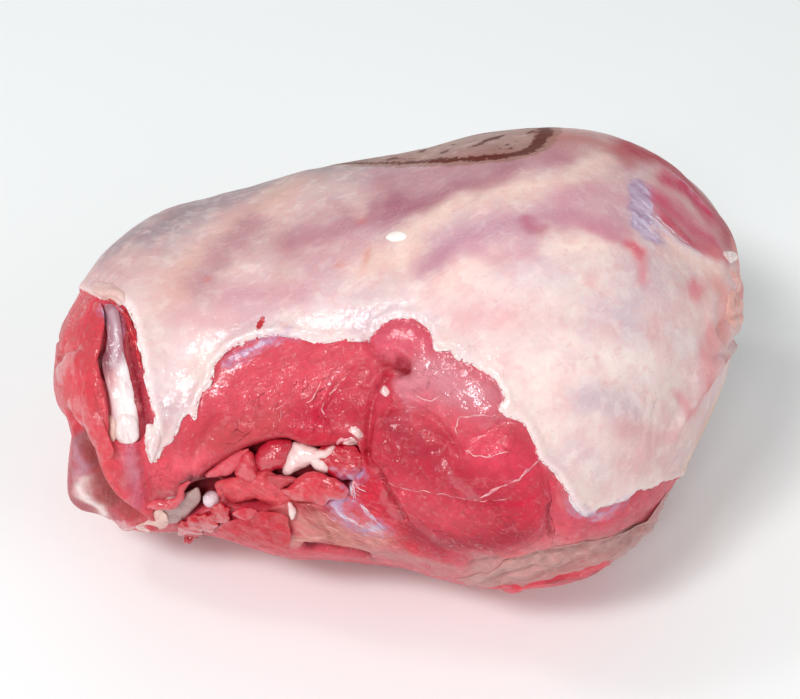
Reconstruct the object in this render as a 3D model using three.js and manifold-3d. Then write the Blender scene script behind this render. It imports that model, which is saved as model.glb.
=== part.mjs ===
// Raw leg of lamb, cut off at the shank and at the rump, lying on its inner side.
// Millimetres. +X runs from the cut shank end to the rump, -Y is the show side, +Z is up,
// and the origin is on the board under the middle of the meat.
import * as THREE from 'three';
import { mergeVertices } from 'three/addons/utils/BufferGeometryUtils.js';
import Module from 'manifold-3d';

const wasm = await Module();
wasm.setup();

// ---- the leg as a whole ----
const HALF_LENGTH = 115.5;
const MIDDLE_Y = 3.5;             // what the finished meat is moved by, so that it stands over the origin
const SETTLE = 4;                 // how far the meat spreads softly where it meets the board
const LEAN = 7;                   // the shank end slopes in toward the board by this much
// sections along the leg: where, half depth, half height, and the middle of the section
const STATION = [-116, -90, -66, -33, 0, 33, 67, 92, 116];
const HALF_DEPTH = [102, 90, 79, 77, 79, 88, 94, 96, 94];
const HALF_HEIGHT = [86, 74, 61, 58, 62, 73, 79, 81, 80];
const SECTION_Y = [-1, 5, 11, 8, 7, 4, 9, 19, 36];
const SECTION_Z = [50, 51, 51, 52, 57, 62, 64, 65, 70];
// how fine the meat's grid is, and how much closer together its lines are on the show side
const COLUMNS = 70;
const ROWS = 30;
const FRONT_CROWDING = 0.55;
const LOW_CROWDING = 0.3;

// The show side is laid out on a sheet that leans back: s along the leg, t up the sheet.
const SHEET_TILT = THREE.MathUtils.degToRad(42);
const SHEET_Y = 8;
const SHEET_Z = 60;
const FELL_THICKNESS = 1;
const CLEARANCE = 0.35;           // between the meat and the pieces that lie in it

// ---- pieces of the cut side, as outlines on the sheet ----
const BARE_MEAT = [[-76, -28], [-68, -22], [-63, -18], [-58, -8], [-52, 0], [-40, 4], [-24, 2], [-10, 3],
  [-4, 8], [4, 9], [10, 4], [20, -4], [29, -11], [30, -18], [38, -24], [46, -37], [54, -49], [66, -46],
  [82, -43], [87, -50], [84, -62], [66, -76], [30, -86], [-10, -78], [-50, -74], [-80, -66], [-79, -46]];
const TROUGH = [[-95, 15], [-89, 14], [-85.5, 6], [-83, -3.5], [-80.5, -12], [-79, -20], [-78.5, -26],
  [-82, -31], [-88, -32], [-89, -26], [-89, -20], [-91, -14], [-93, -8], [-93.5, 2], [-92.5, 9]];
const CAVITY = [[-62, -39], [-55, -33.5], [-46, -28.5], [-36, -26], [-28, -28.5], [-17, -28], [-12, -31],
  [-13, -38], [-17, -45], [-25, -48], [-36, -49], [-46, -51], [-54, -50], [-57, -44]];
const JOINT_HOLLOW = [[-69, -46], [-66, -41.5], [-60, -40], [-56, -43], [-56.5, -49], [-62, -52],
  [-69, -56], [-77, -55], [-78, -50.5], [-74, -48.5]];
const OVERHANG = [[-64, -40], [-57, -36.5], [-49, -31], [-41, -28.5], [-33, -28.5], [-24, -31], [-14, -29],
  [-10, -20], [-20, -12], [-36, -10], [-52, -16], [-64, -28]];
const LOBE = [[-10, 2], [-6.5, 6.5], [-1.5, 9.5], [4.5, 9.5], [9, 6], [11, 1], [9, -4], [4.5, -7],
  [1, -5], [-2, -3.5], [-6, -2]];
const GLOSSY_MUSCLE = [[2, -4], [10, 0], [19, -3], [27, -8.5], [30.5, -15], [29, -21], [22, -25], [16, -26],
  [11, -21], [4, -18], [-2, -15.5], [-5, -10]];
const ROUND_MUSCLE = [[-7.5, -20], [-1, -18], [7, -19.5], [15, -26], [25, -25], [33, -22], [41, -33],
  [44, -45], [43, -56], [32, -62], [16, -62], [4, -55], [-4, -45], [-9.5, -33]];
const END_MUSCLE = [[46, -46], [54, -49.5], [64, -48], [74, -45.5], [82, -45], [79, -51], [64, -55.5],
  [50, -58], [46, -51]];
const TONGUE = [[-35.5, -43], [-31, -39], [-28, -37], [-22, -38.5], [-17, -40.5], [-16, -43], [-19, -46.5],
  [-24, -48.5], [-30, -47]];
const TRIANGLE_FLAP = [[-44, -35.5], [-39.5, -37.5], [-31, -38], [-33, -41.5], [-36, -43], [-40, -40]];
const LEDGE = [[-58, -41.5], [-49.5, -41], [-41, -38.5], [-36, -42], [-38.5, -45.5], [-47, -47.5],
  [-54, -47.5], [-57.5, -45]];
const HALF_RING = [[-61, -39.5], [-55.5, -35.5], [-49, -31.5], [-48, -35.5], [-52, -38.5], [-57, -39]];
const LUMP_LEFT = [[-50.5, -32.5], [-44, -32], [-43.5, -38.5], [-49, -40]];
const LUMP_RIGHT = [[-43, -29.5], [-35, -29.5], [-34, -35.5], [-41, -37]];
const POINTED_FLAP = [[-50.5, -50], [-47.5, -54.5], [-43.5, -51], [-41, -48], [-46, -47.5]];
const PLATE = [[-57.5, -55], [-53, -52.5], [-44, -50.5], [-34, -50], [-34, -57], [-41, -62], [-50, -63],
  [-58, -62.5]];
const SCRAPS = [[-72, -58], [-67, -53.5], [-61, -51], [-54, -50], [-57, -54.5], [-61, -59], [-66, -61.5],
  [-69.5, -64.5], [-72, -62]];
const GRISTLE = [[-32, -28], [-26.5, -29], [-22.5, -31], [-22.5, -33], [-26, -35], [-30, -36],
  [-34, -38.5], [-36, -37], [-35.5, -34.5], [-34, -31]];
const GRISTLE_MIDDLE = [-29.5, -33];
const POCKET_SPREAD = 1.1;        // how much wider the gristle's pocket is than the gristle
// creases between the muscles: paths on the sheet
const LIP_CREASE = [[-104, -23], [-100.5, -27.5], [-96, -31], [-93.5, -32], [-92, -38], [-90, -45],
  [-85, -53]];
const LOBE_CREASE = [[-10.5, 3.5], [-8, 0.5], [-4, -2.5], [0.5, -4], [0, -7], [-4, -9], [-7, -12], [-8, -18],
  [-7.5, -24], [-10, -28], [-10, -33], [-5, -40], [0, -48]];
const BOTTOM_CREASE = [[22, -66], [35, -64], [46, -61], [58, -58], [70, -55], [84, -51]];
const TENDON_PATH = [[-91.5, 11.5], [-90, 4], [-89, -4], [-87.5, -12], [-86, -19], [-85, -26]];
const TENDON_HALF_WIDTH = [1.3, 2.2, 2.7, 3, 3.4, 3.2];
// the joint: middle of each ball on the sheet, and its half sizes along the sheet and into it
const JOINT_BONE = { at: [-71.5, -52], size: [5.6, 3.8, 3.6], sunk: 3.2 };
const CARTILAGE_BALL = { at: [-59, -47], size: [2.8, 2.8, 2.8], sunk: 3.4 };

const clamp01 = (v) => Math.min(1, Math.max(0, v));
const smooth = (v) => { const u = clamp01(v); return u * u * (3 - 2 * u); };
const TILT_SIN = Math.sin(SHEET_TILT);
const TILT_COS = Math.cos(SHEET_TILT);

// Cubic curve through one value per station.
function along(values, x) {
  const last = STATION.length - 1;
  const u = Math.min(STATION[last], Math.max(STATION[0], x));
  let i = 0;
  while (i < last - 1 && u > STATION[i + 1]) i += 1;
  const slope = (k) => {
    const a = Math.max(0, k - 1);
    const b = Math.min(last, k + 1);
    return (values[b] - values[a]) / (STATION[b] - STATION[a]);
  };
  const h = STATION[i + 1] - STATION[i];
  const f = (u - STATION[i]) / h;
  const keep = (1 + 2 * f) * (1 - f) * (1 - f);
  return keep * values[i] + (1 - keep) * values[i + 1]
    + h * f * (1 - f) * ((1 - f) * slope(i) - f * slope(i + 1));
}

// Meat that would be under the board spreads flat on it.
function settle(z) {
  if (z <= -SETTLE) return 0;
  return z < SETTLE ? (z + SETTLE) ** 2 / (4 * SETTLE) : z;
}

// Gentle swells and dips of the meat, in mm, before anything is cut: [s, t, radius, height].
const SWELLS = [
  [-104, 4, 9, 2.5], [-103, -8, 9, 3], [-99, -20, 8, 2.5], [-60, -14, 16, 1.5], [-84, -44, 7, -2.5],
  [-66, -40, 9, 1.5], [78, 48, 12, -1.5], [95, 40, 9, -1.5], [101, 27, 7, 2], [100, -3, 6, 1.5],
  [64, 20, 22, 1], [14, -30, 18, 1.5], [-20, 30, 30, 1],
];
function swell(s, t) {
  return SWELLS.reduce((sum, [cs, ct, radius, height]) => (
    sum + height * Math.exp(-((s - cs) ** 2 + (t - ct) ** 2) / radius ** 2)), 0);
}

// Point of the meat in a direction of the unit sphere, with the shank end sloping in below.
function bodyPoint(nx, ny, nz) {
  const x = HALF_LENGTH * nx;
  const y = along(SECTION_Y, x) + along(HALF_DEPTH, x) * ny;
  const z = settle(along(SECTION_Z, x) + along(HALF_HEIGHT, x) * nz);
  const lean = LEAN * clamp01((-x - 72) / 43) ** 2 * clamp01((58 - z) / 58);
  return new THREE.Vector3(x + lean, y, z);
}

function toSheet(p) {
  const y = p.y - SHEET_Y;
  const z = p.z - SHEET_Z;
  return [p.x, y * TILT_SIN + z * TILT_COS];
}
const OUT_OF_SHEET = new THREE.Vector3(0, -TILT_COS, TILT_SIN);
const UP_THE_SHEET = new THREE.Vector3(0, TILT_SIN, TILT_COS);

// Point of the meat that lies behind (s, t) on the sheet, moved out of it by the given height.
// Past the outline of the meat the sheet goes on level with that outline.
function lay(s, t, height = 0) {
  const c = Math.sqrt(Math.max(1e-4, 1 - (s / HALF_LENGTH) ** 2));
  const a = along(HALF_DEPTH, s) * c;
  const b = along(HALF_HEIGHT, s) * c;
  const yc = along(SECTION_Y, s);
  const zc = along(SECTION_Z, s);
  const reach = Math.hypot(a * TILT_SIN, b * TILT_COS);
  const up = Math.atan2(b * TILT_COS, a * TILT_SIN);
  const level = t - (yc - SHEET_Y) * TILT_SIN - (zc - SHEET_Z) * TILT_COS;
  const turn = Math.acos(Math.min(1, Math.max(-1, level / reach)));
  const spots = [up + turn, up - turn].map((f) => (
    new THREE.Vector3(s, yc + a * Math.cos(f), settle(zc + b * Math.sin(f)))));
  const front = spots[0].dot(OUT_OF_SHEET) > spots[1].dot(OUT_OF_SHEET) ? spots[0] : spots[1];
  const past = level - Math.min(reach, Math.max(-reach, level));
  return front.addScaledVector(UP_THE_SHEET, past).addScaledVector(OUT_OF_SHEET, height + swell(s, t));
}

// Closed BufferGeometry from rows of points that go round, with one point at either end.
function shell(start, rows, end) {
  const around = rows[0].length;
  const points = [start, ...rows.flat(), end];
  const faces = [];
  for (let j = 0; j < around; j += 1) {
    const k = (j + 1) % around;
    faces.push(0, 1 + k, 1 + j);
    for (let i = 0; i + 1 < rows.length; i += 1) {
      const p = 1 + i * around;
      const q = p + around;
      faces.push(p + j, p + k, q + k, p + j, q + k, q + j);
    }
    const p = 1 + (rows.length - 1) * around;
    faces.push(points.length - 1, p + j, p + k);
  }
  const geometry = new THREE.BufferGeometry();
  geometry.setAttribute('position', new THREE.Float32BufferAttribute(points.flatMap((p) => p.toArray()), 3));
  geometry.setIndex(faces);
  return geometry;
}

function solid(geometry) {
  const clean = geometry.clone();
  clean.deleteAttribute('normal');
  clean.deleteAttribute('uv');
  const merged = mergeVertices(clean, 1e-4);
  const mesh = new wasm.Mesh({
    numProp: 3,
    vertProperties: new Float32Array(merged.getAttribute('position').array),
    triVerts: new Uint32Array(merged.getIndex().array),
  });
  const made = new wasm.Manifold(mesh);
  if (made.volume() > 0) return made;
  const index = mesh.triVerts;
  for (let i = 0; i < index.length; i += 3) [index[i], index[i + 1]] = [index[i + 1], index[i]];
  return new wasm.Manifold(mesh);
}

function toGeometry(manifold) {
  const mesh = manifold.getMesh();
  const geometry = new THREE.BufferGeometry();
  geometry.setAttribute('position', new THREE.BufferAttribute(new Float32Array(mesh.vertProperties), 3));
  geometry.setIndex(new THREE.BufferAttribute(new Uint32Array(mesh.triVerts), 1));
  return geometry;
}

// The meat as a globe with its poles above and below, its lines closer together on the show side.
// The inset takes a skin of that thickness off all round.
function body(inset) {
  const point = (row, column) => {
    const v = row / ROWS;
    const latitude = Math.PI * (v - 0.5) + LOW_CROWDING * Math.sin(2 * Math.PI * v) * 0.5;
    const u = (2 * Math.PI * column) / COLUMNS;
    const longitude = u - FRONT_CROWDING * Math.cos(u);
    return bodyPoint(Math.cos(latitude) * Math.cos(longitude), Math.cos(latitude) * Math.sin(longitude),
      Math.sin(latitude));
  };
  const across = new THREE.Vector3();
  const upward = new THREE.Vector3();
  const rows = [];
  for (let row = 1; row < ROWS; row += 1) {
    const ring = [];
    for (let column = 0; column < COLUMNS; column += 1) {
      const p = point(row, column);
      across.subVectors(point(row, column + 0.1), p);
      upward.subVectors(point(row + 0.1, column), p);
      const normal = across.cross(upward).normalize();
      const facing = smooth(normal.dot(OUT_OF_SHEET) * 4);
      ring.push(p.clone().addScaledVector(normal, facing * swell(...toSheet(p)) - inset));
    }
    rows.push(ring);
  }
  const low = bodyPoint(0, 0, -1);
  const high = bodyPoint(0, 0, 1);
  low.z += inset;
  high.z -= inset;
  return solid(shell(low, rows, high));
}

// Rounded cushion on an outline: high in the middle, its rim at edge, and deep below the surface.
// It tips by so much for each mm down the sheet. All of the rim has to be in view of the middle.
function cushion(outline, { high, edge = -0.5, deep, around = 20, rings = 4, square = 2, tip = 0, centre }) {
  const curve = new THREE.CatmullRomCurve3(outline.map(([s, t]) => new THREE.Vector3(s, t, 0)), true);
  const rim = curve.getSpacedPoints(around).slice(0, around);
  const middle = new THREE.Vector3();
  if (centre) middle.set(...centre, 0);
  else rim.forEach((p) => middle.addScaledVector(p, 1 / around));
  const ring = (fraction, rise) => rim.map((p) => {
    const q = middle.clone().lerp(p, fraction);
    return lay(q.x, q.y, rise + tip * (middle.y - q.y));
  });
  const rows = [];
  const dome = (fraction) => (1 - fraction ** square) ** (1 / square);
  for (let i = 1; i <= rings; i += 1) {
    const fraction = Math.sin((Math.PI / 2) * (i / rings));
    rows.push(ring(fraction, edge + (high - edge) * dome(fraction)));
  }
  for (const fraction of [0.9, 0.5]) rows.push(ring(fraction, edge - (deep + edge) * dome(fraction)));
  return solid(shell(lay(middle.x, middle.y, high), rows, lay(middle.x, middle.y, -deep)));
}

// Four-sided bar along a path, tapering to both ends: half as wide as width, from top down to depth.
function furrow(path, { width, depth, top = 2, steps = 12 }) {
  const curve = new THREE.CatmullRomCurve3(path.map(([s, t]) => new THREE.Vector3(s, t, 0)));
  const rows = [];
  for (let i = 1; i < steps; i += 1) {
    const f = i / steps;
    const p = curve.getPoint(f);
    const tangent = curve.getTangent(f);
    const fade = Math.min(1, 3 * Math.sin(Math.PI * f)) ** 0.7;
    const ds = (-tangent.y * width * fade) / 2;
    const dt = (tangent.x * width * fade) / 2;
    rows.push([lay(p.x, p.y, -depth * fade), lay(p.x + ds, p.y + dt, 0), lay(p.x, p.y, top),
      lay(p.x - ds, p.y - dt, 0)]);
  }
  return solid(shell(lay(...path[0], 1), rows, lay(...path[path.length - 1], 1)));
}

// Flattened round cord along a path, its half width given at even steps of the path.
function cord(path, halfWidths, { grow = 0, lift, flat = 0.6, around = 12, steps = 14 }) {
  const curve = new THREE.CatmullRomCurve3(path.map(([s, t]) => new THREE.Vector3(s, t, 0)));
  const rows = [];
  for (let i = 0; i <= steps; i += 1) {
    const f = i / steps;
    const p = curve.getPoint(f);
    const tangent = curve.getTangent(f);
    const k = f * (halfWidths.length - 1);
    const a = Math.min(halfWidths.length - 2, Math.floor(k));
    const end = Math.sqrt(Math.max(0.08, Math.sin(Math.PI * Math.min(1, Math.max(0, 0.06 + 0.88 * f)))));
    const half = (halfWidths[a] + (k - a) * (halfWidths[a + 1] - halfWidths[a])) * end + grow;
    const ring = [];
    for (let j = 0; j < around; j += 1) {
      const turn = (2 * Math.PI * j) / around;
      const off = half * Math.cos(turn);
      const middle = lay(p.x - tangent.y * off, p.y + tangent.x * off, 0);
      const rise = (half * flat + grow * (1 - flat)) * Math.sin(turn);
      ring.push(middle.addScaledVector(OUT_OF_SHEET, lift + rise));
    }
    rows.push(ring);
  }
  const cap = (f) => { const p = curve.getPoint(f); return lay(p.x, p.y, lift); };
  return solid(shell(cap(0), rows, cap(1)));
}

function ball({ at, size, sunk }, grow = 0) {
  const globe = new THREE.SphereGeometry(1, 14, 10);
  globe.scale(size[0] + grow, size[1] + grow, size[2] + grow);
  globe.rotateX(Math.PI / 2 - SHEET_TILT);
  const middle = lay(...at, -sunk);
  globe.translate(middle.x, middle.y, middle.z);
  return solid(globe);
}

function node(name, manifold, material) {
  const mesh = new THREE.Mesh(toGeometry(manifold), material);
  mesh.name = name;
  mesh.position.set(0, -MIDDLE_Y, 0);
  return mesh;
}

// the bare pieces that lie in the meat
const tendon = cord(TENDON_PATH, TENDON_HALF_WIDTH, { lift: -3 });
const tendonPocket = cord(TENDON_PATH, TENDON_HALF_WIDTH, { lift: -3, grow: CLEARANCE });
const gristle = cushion(GRISTLE, { high: -2, edge: -5, deep: 9, around: 18, rings: 3, square: 3 });
const gristlePocket = cushion(GRISTLE.map(([s, t]) => [
  GRISTLE_MIDDLE[0] + (s - GRISTLE_MIDDLE[0]) * POCKET_SPREAD,
  GRISTLE_MIDDLE[1] + (t - GRISTLE_MIDDLE[1]) * POCKET_SPREAD,
]), { high: CLEARANCE - 2, edge: -5, deep: 9 + CLEARANCE, around: 18, rings: 3, square: 3 });
const jointBone = ball(JOINT_BONE);
const cartilage = ball(CARTILAGE_BALL);

const cuts = [
  cushion(TROUGH, { high: 5, edge: 2, deep: 5, around: 26, rings: 3, square: 3 }),
  cushion(CAVITY, { high: 5, edge: 2, deep: 10, around: 26, rings: 4, square: 4 }),
  cushion(JOINT_HOLLOW, { high: 5, edge: 2, deep: 9, around: 20, rings: 3, square: 3 }),
  furrow(LIP_CREASE, { width: 4, depth: 5 }),
  furrow(LOBE_CREASE, { width: 3.5, depth: 5, steps: 20 }),
  furrow(BOTTOM_CREASE, { width: 4, depth: 3, steps: 10 }),
];
const flaps = [
  cushion(OVERHANG, { high: 1.6, edge: 0.2, deep: 6, around: 24, tip: 0.12, centre: [-36, -17] }),
  cushion(LOBE, { high: 2.6, edge: -0.2, deep: 4, around: 16, rings: 3 }),
  cushion(GLOSSY_MUSCLE, { high: 1.4, edge: -1.6, deep: 5, around: 18, rings: 3 }),
  cushion(ROUND_MUSCLE, { high: 2.4, edge: -2, deep: 8, around: 24 }),
  cushion(END_MUSCLE, { high: 1, edge: -1.8, deep: 5, around: 16, rings: 3, centre: [60, -52.5] }),
  cushion(LEDGE, { high: -2.5, edge: -5, deep: 12, around: 16, rings: 3 }),
  cushion(HALF_RING, { high: -2.5, edge: -4.5, deep: 12, around: 12, rings: 3 }),
  cushion(LUMP_LEFT, { high: -2.5, edge: -6, deep: 13, around: 12, rings: 3 }),
  cushion(LUMP_RIGHT, { high: -3, edge: -6, deep: 13, around: 12, rings: 3 }),
  cushion(TRIANGLE_FLAP, { high: -1, edge: -2.5, deep: 12, around: 14, rings: 3 }),
  cushion(TONGUE, { high: 1.5, edge: -1, deep: 12, around: 16, rings: 3 }),
  cushion(POINTED_FLAP, { high: 1, edge: -0.5, deep: 8, around: 12, rings: 3 }),
  cushion(PLATE, { high: 1.8, edge: 0.2, deep: 7, around: 18, rings: 3 }),
  cushion(SCRAPS, { high: 1.5, edge: -1.5, deep: 8, around: 18, rings: 3 }),
];

// the fell, the thin skin of the leg, ends along the outline of the bare meat
const skinned = cushion(BARE_MEAT, {
  high: 5, edge: 3, deep: 6, around: 48, rings: 2, square: 10, centre: [10, -62],
});
let meat = body(0).subtract(skinned).add(body(FELL_THICKNESS));
for (const cut of cuts) meat = meat.subtract(cut);
for (const flap of flaps) meat = meat.add(flap);
meat = meat.subtract(tendonPocket).subtract(gristlePocket)
  .subtract(ball(JOINT_BONE, CLEARANCE)).subtract(ball(CARTILAGE_BALL, CLEARANCE));

const flesh = new THREE.MeshStandardMaterial({ color: '#c9505f', roughness: 0.4, metalness: 0 });
const sinew = new THREE.MeshStandardMaterial({ color: '#e6cfd1', roughness: 0.3, metalness: 0 });
const bone = new THREE.MeshStandardMaterial({ color: '#a8837f', roughness: 0.45, metalness: 0 });
const white = new THREE.MeshStandardMaterial({ color: '#f3dedd', roughness: 0.35, metalness: 0 });
const pearl = new THREE.MeshStandardMaterial({ color: '#dcc0c2', roughness: 0.25, metalness: 0 });

const group = new THREE.Group();
group.add(
  node('leg_meat', meat, flesh),
  node('tendon', tendon, sinew),
  node('joint_bone', jointBone, bone),
  node('cartilage_ball', cartilage, pearl),
  node('gristle_chunk', gristle, white),
);

export default group;
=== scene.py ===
"""Raw leg of lamb, cut off at shank and rump, lying with its trimmed side in view.

The form is worked out in millimetres. x runs from the cut shank end to the rump, -y is the
show side and z is up. The show side is laid out on a sheet that leans back: s along the leg,
t up the sheet. Outlines and paths are points (s, t) on that sheet.
"""
import math

import bpy
import numpy as np
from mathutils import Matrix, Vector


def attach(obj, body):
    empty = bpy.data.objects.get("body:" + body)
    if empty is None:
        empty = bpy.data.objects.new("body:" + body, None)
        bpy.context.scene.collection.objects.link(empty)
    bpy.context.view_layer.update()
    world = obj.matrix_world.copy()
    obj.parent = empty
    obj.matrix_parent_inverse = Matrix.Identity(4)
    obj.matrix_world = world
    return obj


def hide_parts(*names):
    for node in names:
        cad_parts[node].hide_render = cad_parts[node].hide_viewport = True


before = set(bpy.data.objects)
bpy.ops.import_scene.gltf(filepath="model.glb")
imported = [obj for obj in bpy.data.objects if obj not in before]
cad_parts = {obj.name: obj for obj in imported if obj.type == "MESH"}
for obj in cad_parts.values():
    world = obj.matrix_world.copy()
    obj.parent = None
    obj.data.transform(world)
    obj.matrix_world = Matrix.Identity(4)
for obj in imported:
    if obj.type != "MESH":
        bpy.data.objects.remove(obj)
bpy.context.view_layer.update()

bl_info = {
    "name": "Raw Leg of Lamb",
    "version": (1, 0, 0),
    "blender": (4, 5, 0),
    "location": "View3D > Sidebar > Lamb",
    "description": "Builds a raw leg of lamb with its fell, muscles, tendon and joint",
    "category": "Add Mesh",
}

MM = 0.001

# ---- the leg as a whole: stations along it, with half sizes and middles of its oval sections ----
MIDDLE_Y = 3.5  # middle of the leg's box, which the finished object has at its origin
SETTLE = 4.0    # depth of the meat that spreads flat on the board
LEAN = 7.0      # how far the shank end slopes in towards the board
LEAN_FROM, LEAN_OVER, LEAN_TOP = 72.0, 43.0, 58.0  # from this far along the leg, over this length, below this height
SHANK_CUT = -92.0       # x of the cut that leaves the shank end bare
UNDERSIDE_TOP = 13.0    # height up to which the meat is bare all round
CROWD_LONGITUDE, CROWD_LATITUDE = 0.62, 0.28  # how much the grid's lines crowd on the show side
STATION = np.array([-116, -90, -66, -33, 0, 33, 67, 92, 116], float)
HALF_DEPTH = [102, 90, 79, 77, 79, 88, 94, 96, 94]
HALF_HEIGHT = [86, 74, 61, 58, 62, 73, 79, 81, 80]
SECTION_Y = [-1, 5, 11, 8, 7, 4, 9, 19, 36]
SECTION_Z = [50, 51, 51, 52, 57, 62, 64, 65, 70]

# ---- the leaning sheet, which faces the camera ----
SHEET_TILT = math.radians(42)
TILT_SIN, TILT_COS = math.sin(SHEET_TILT), math.cos(SHEET_TILT)
SHEET_Y, SHEET_Z = 8.0, 60.0
OUT_OF_SHEET = np.array([0, -TILT_COS, TILT_SIN])
UP_THE_SHEET = np.array([0, TILT_SIN, TILT_COS])
VIEW_WIDTH = 800 * 0.335  # what the camera takes in at the sheet, from left to right
FLOOR_HALF = 3.0  # metres

# ---- outlines on the sheet ----
FELL_EDGE = [
    (-124, 24), (-109.5, 21), (-103.5, 19.5), (-97.5, 17), (-94.5, 16), (-89.5, 16.5), (-87.5, 15),
    (-85.5, 13.5), (-84, 11), (-82.5, 7.5), (-81.5, 3), (-80, -1.5), (-78.5, -9.5), (-77.5, -14),
    (-76, -18.5), (-75, -25.5), (-77, -27), (-78, -31), (-76, -35), (-74, -31.5), (-72.5, -30),
    (-70.5, -28), (-69, -25), (-68, -22), (-66.5, -20), (-64.5, -19.5), (-62.8, -21.5), (-62, -17),
    (-60.5, -13), (-58.5, -11), (-57.5, -8), (-57, -5), (-54, -1.5), (-51, 1), (-46, 3), (-40, 4),
    (-34.5, 4), (-29, 3), (-25.5, 2), (-22, 2), (-18, 3), (-13.5, 3), (-10.5, 3), (-8.5, 4.5),
    (-6.5, 6.5), (-4, 8), (-1.5, 9.2), (1.5, 9.3), (4.5, 9), (7, 7.5), (9, 5.5), (10, 3.5), (11, 0),
    (14.5, 0), (17.5, -2.5), (20.5, -3.5), (23, -5.5), (27.5, -8.5), (29, -10.5), (30, -12.5),
    (30.5, -14.5), (29, -17), (30.5, -19), (33.5, -20), (36, -21.5), (38, -24.5), (39.5, -28),
    (40.5, -31.5), (44, -35), (46, -36.5), (47.5, -39), (50.5, -44), (52, -46.5), (55, -49.5),
    (57.5, -49), (60, -47.5), (63.5, -46.5), (66.5, -46), (70, -44.5), (72, -43), (77.5, -42.5),
    (83.5, -41), (96, -46), (96, -90), (-124, -90),
]
TROUGH = [(-95, 15), (-89, 14), (-85.5, 6), (-83, -3.5), (-80.5, -12), (-79, -20), (-78.5, -26),
          (-82, -29.5), (-87.5, -29.5), (-89.5, -26), (-90, -20), (-91, -14), (-93, -8), (-93.5, 2), (-92.5, 9)]
CAVITY = [(-62, -39), (-55, -33.5), (-46, -28.5), (-36, -26), (-28, -28.5), (-17, -28), (-12, -31),
          (-13, -38), (-17, -45), (-25, -48), (-36, -49), (-46, -51), (-54, -50), (-57, -44)]
JOINT_HOLLOW = [(-69, -46), (-66, -41.5), (-60, -40), (-56, -43), (-56.5, -49), (-62, -52),
                (-69, -55), (-77, -54.5), (-78.5, -51), (-74, -48.5)]
OVERHANG = [(-64, -40), (-57, -36.5), (-49, -31), (-41, -28.5), (-33, -28.5), (-24, -31), (-14, -29),
            (-10, -20), (-20, -12), (-36, -10), (-52, -16), (-64, -28)]
LOBE = [(-10, 2), (-6.5, 6.5), (-1.5, 9.5), (4.5, 9.5), (9, 6), (11, 1), (9, -4), (4.5, -7),
        (1, -5), (-2, -3.5), (-6, -2)]
GLOSSY_MUSCLE = [(2, -4), (10, 0), (19, -3), (27, -8.5), (30.5, -15), (29, -21), (22, -25), (16, -26),
                 (11, -21), (4, -18), (-2, -15.5), (-5, -10)]
ROUND_MUSCLE = [(-7.5, -20), (-1, -18), (7, -19.5), (15, -26), (25, -25), (33, -22), (41, -33),
                (44, -45), (43, -56), (32, -62), (16, -62), (4, -55), (-4, -45), (-9.5, -33)]
END_MUSCLE = [(46, -38), (54, -48), (64, -46.5), (74, -43.5), (84, -43), (81, -51), (64, -55.5),
              (50, -58), (46, -51)]
TONGUE = [(-34.5, -42), (-30.5, -38.5), (-26, -37), (-21, -38.5), (-17, -40.5), (-15.5, -43), (-17, -45.5),
          (-21.5, -46), (-23.5, -47.8), (-27.5, -46.5), (-31.5, -46.3), (-34.5, -44.8), (-36.5, -43)]
TRIANGLE_FLAP = [(-41, -38.5), (-35.5, -38.5), (-31, -39.5), (-33.5, -41.3), (-36.5, -43), (-39, -41)]
LEDGE = [(-57.5, -41.5), (-51, -39.5), (-44.5, -37), (-38.5, -38), (-34.5, -42.5), (-32.5, -46.5), (-34.5, -49.5),
         (-39, -48.5), (-44.5, -46.5), (-51, -47.8), (-56, -47)]
CRESCENT = [(-61, -39.3), (-55.5, -34.3), (-50.5, -31), (-46.5, -30.5), (-47, -32.5), (-48.5, -35.5), (-52, -38.3),
            (-56, -39.5)]
LUMP_LEFT = [(-47.8, -31.3), (-45, -32), (-43.8, -36), (-43.8, -39.5), (-46, -41.5), (-48.5, -40.3), (-51, -38.3),
             (-50.3, -35)]
LUMP_RIGHT = [(-41, -28.3), (-36.5, -27.3), (-33, -28), (-33.5, -31.5), (-35, -36), (-39.5, -37.3), (-44, -37),
              (-44.5, -32.5)]
SEAM_LUMP = [(-24.5, -30), (-19, -28.6), (-13.5, -29.2), (-11.2, -33), (-12.5, -38), (-16.5, -39.6), (-21.5, -37.4),
             (-24.2, -33.6)]
POINTED_FLAP = [(-52.5, -51), (-50.5, -53), (-47.5, -54.3), (-43.5, -50.5), (-48, -48.8)]
PLATE = [(-57, -56), (-51.5, -53), (-48, -53), (-43.5, -50), (-39, -50), (-35, -50.8), (-34.3, -54.5),
         (-34, -59.5), (-35.5, -62.5), (-43.5, -62.8), (-50, -61), (-57.5, -60.3)]
SCRAPS = [
    [(-70.5, -56), (-67, -53.5), (-63, -52), (-62, -56), (-65, -59.5), (-69, -64.5), (-73, -62)],
    [(-65, -53), (-61, -51.3), (-57.5, -52), (-57.5, -56), (-61.5, -58.3), (-65.5, -57)],
    [(-59, -50), (-56, -47.8), (-52.8, -49.8), (-54.5, -54), (-58, -55)],
]
GRISTLE = [(-32, -28), (-26.5, -29.3), (-23, -31.3), (-23.3, -33.3), (-27.5, -35.3), (-31.5, -37.2), (-34.7, -38.7),
           (-36, -37.2), (-34.7, -33), (-33.2, -29.8)]
TENDON = [(-94, 14), (-89.5, 13.5), (-87, 6.5), (-85.5, -2), (-83.5, -8), (-82, -14.5), (-81, -20), (-81, -26.5),
          (-82.5, -29), (-87.5, -29), (-90, -26), (-90, -21.5), (-90.5, -14.5), (-92.3, -8), (-93, -2.5), (-91.8, 1),
          (-92, 8.5)]
BONE_END = [(-77.5, -50.5), (-73, -46), (-66.5, -44.5), (-63, -43), (-62.5, -47), (-65.5, -50.8), (-69.5, -54.6),
            (-74, -56), (-77, -54.5)]
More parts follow.
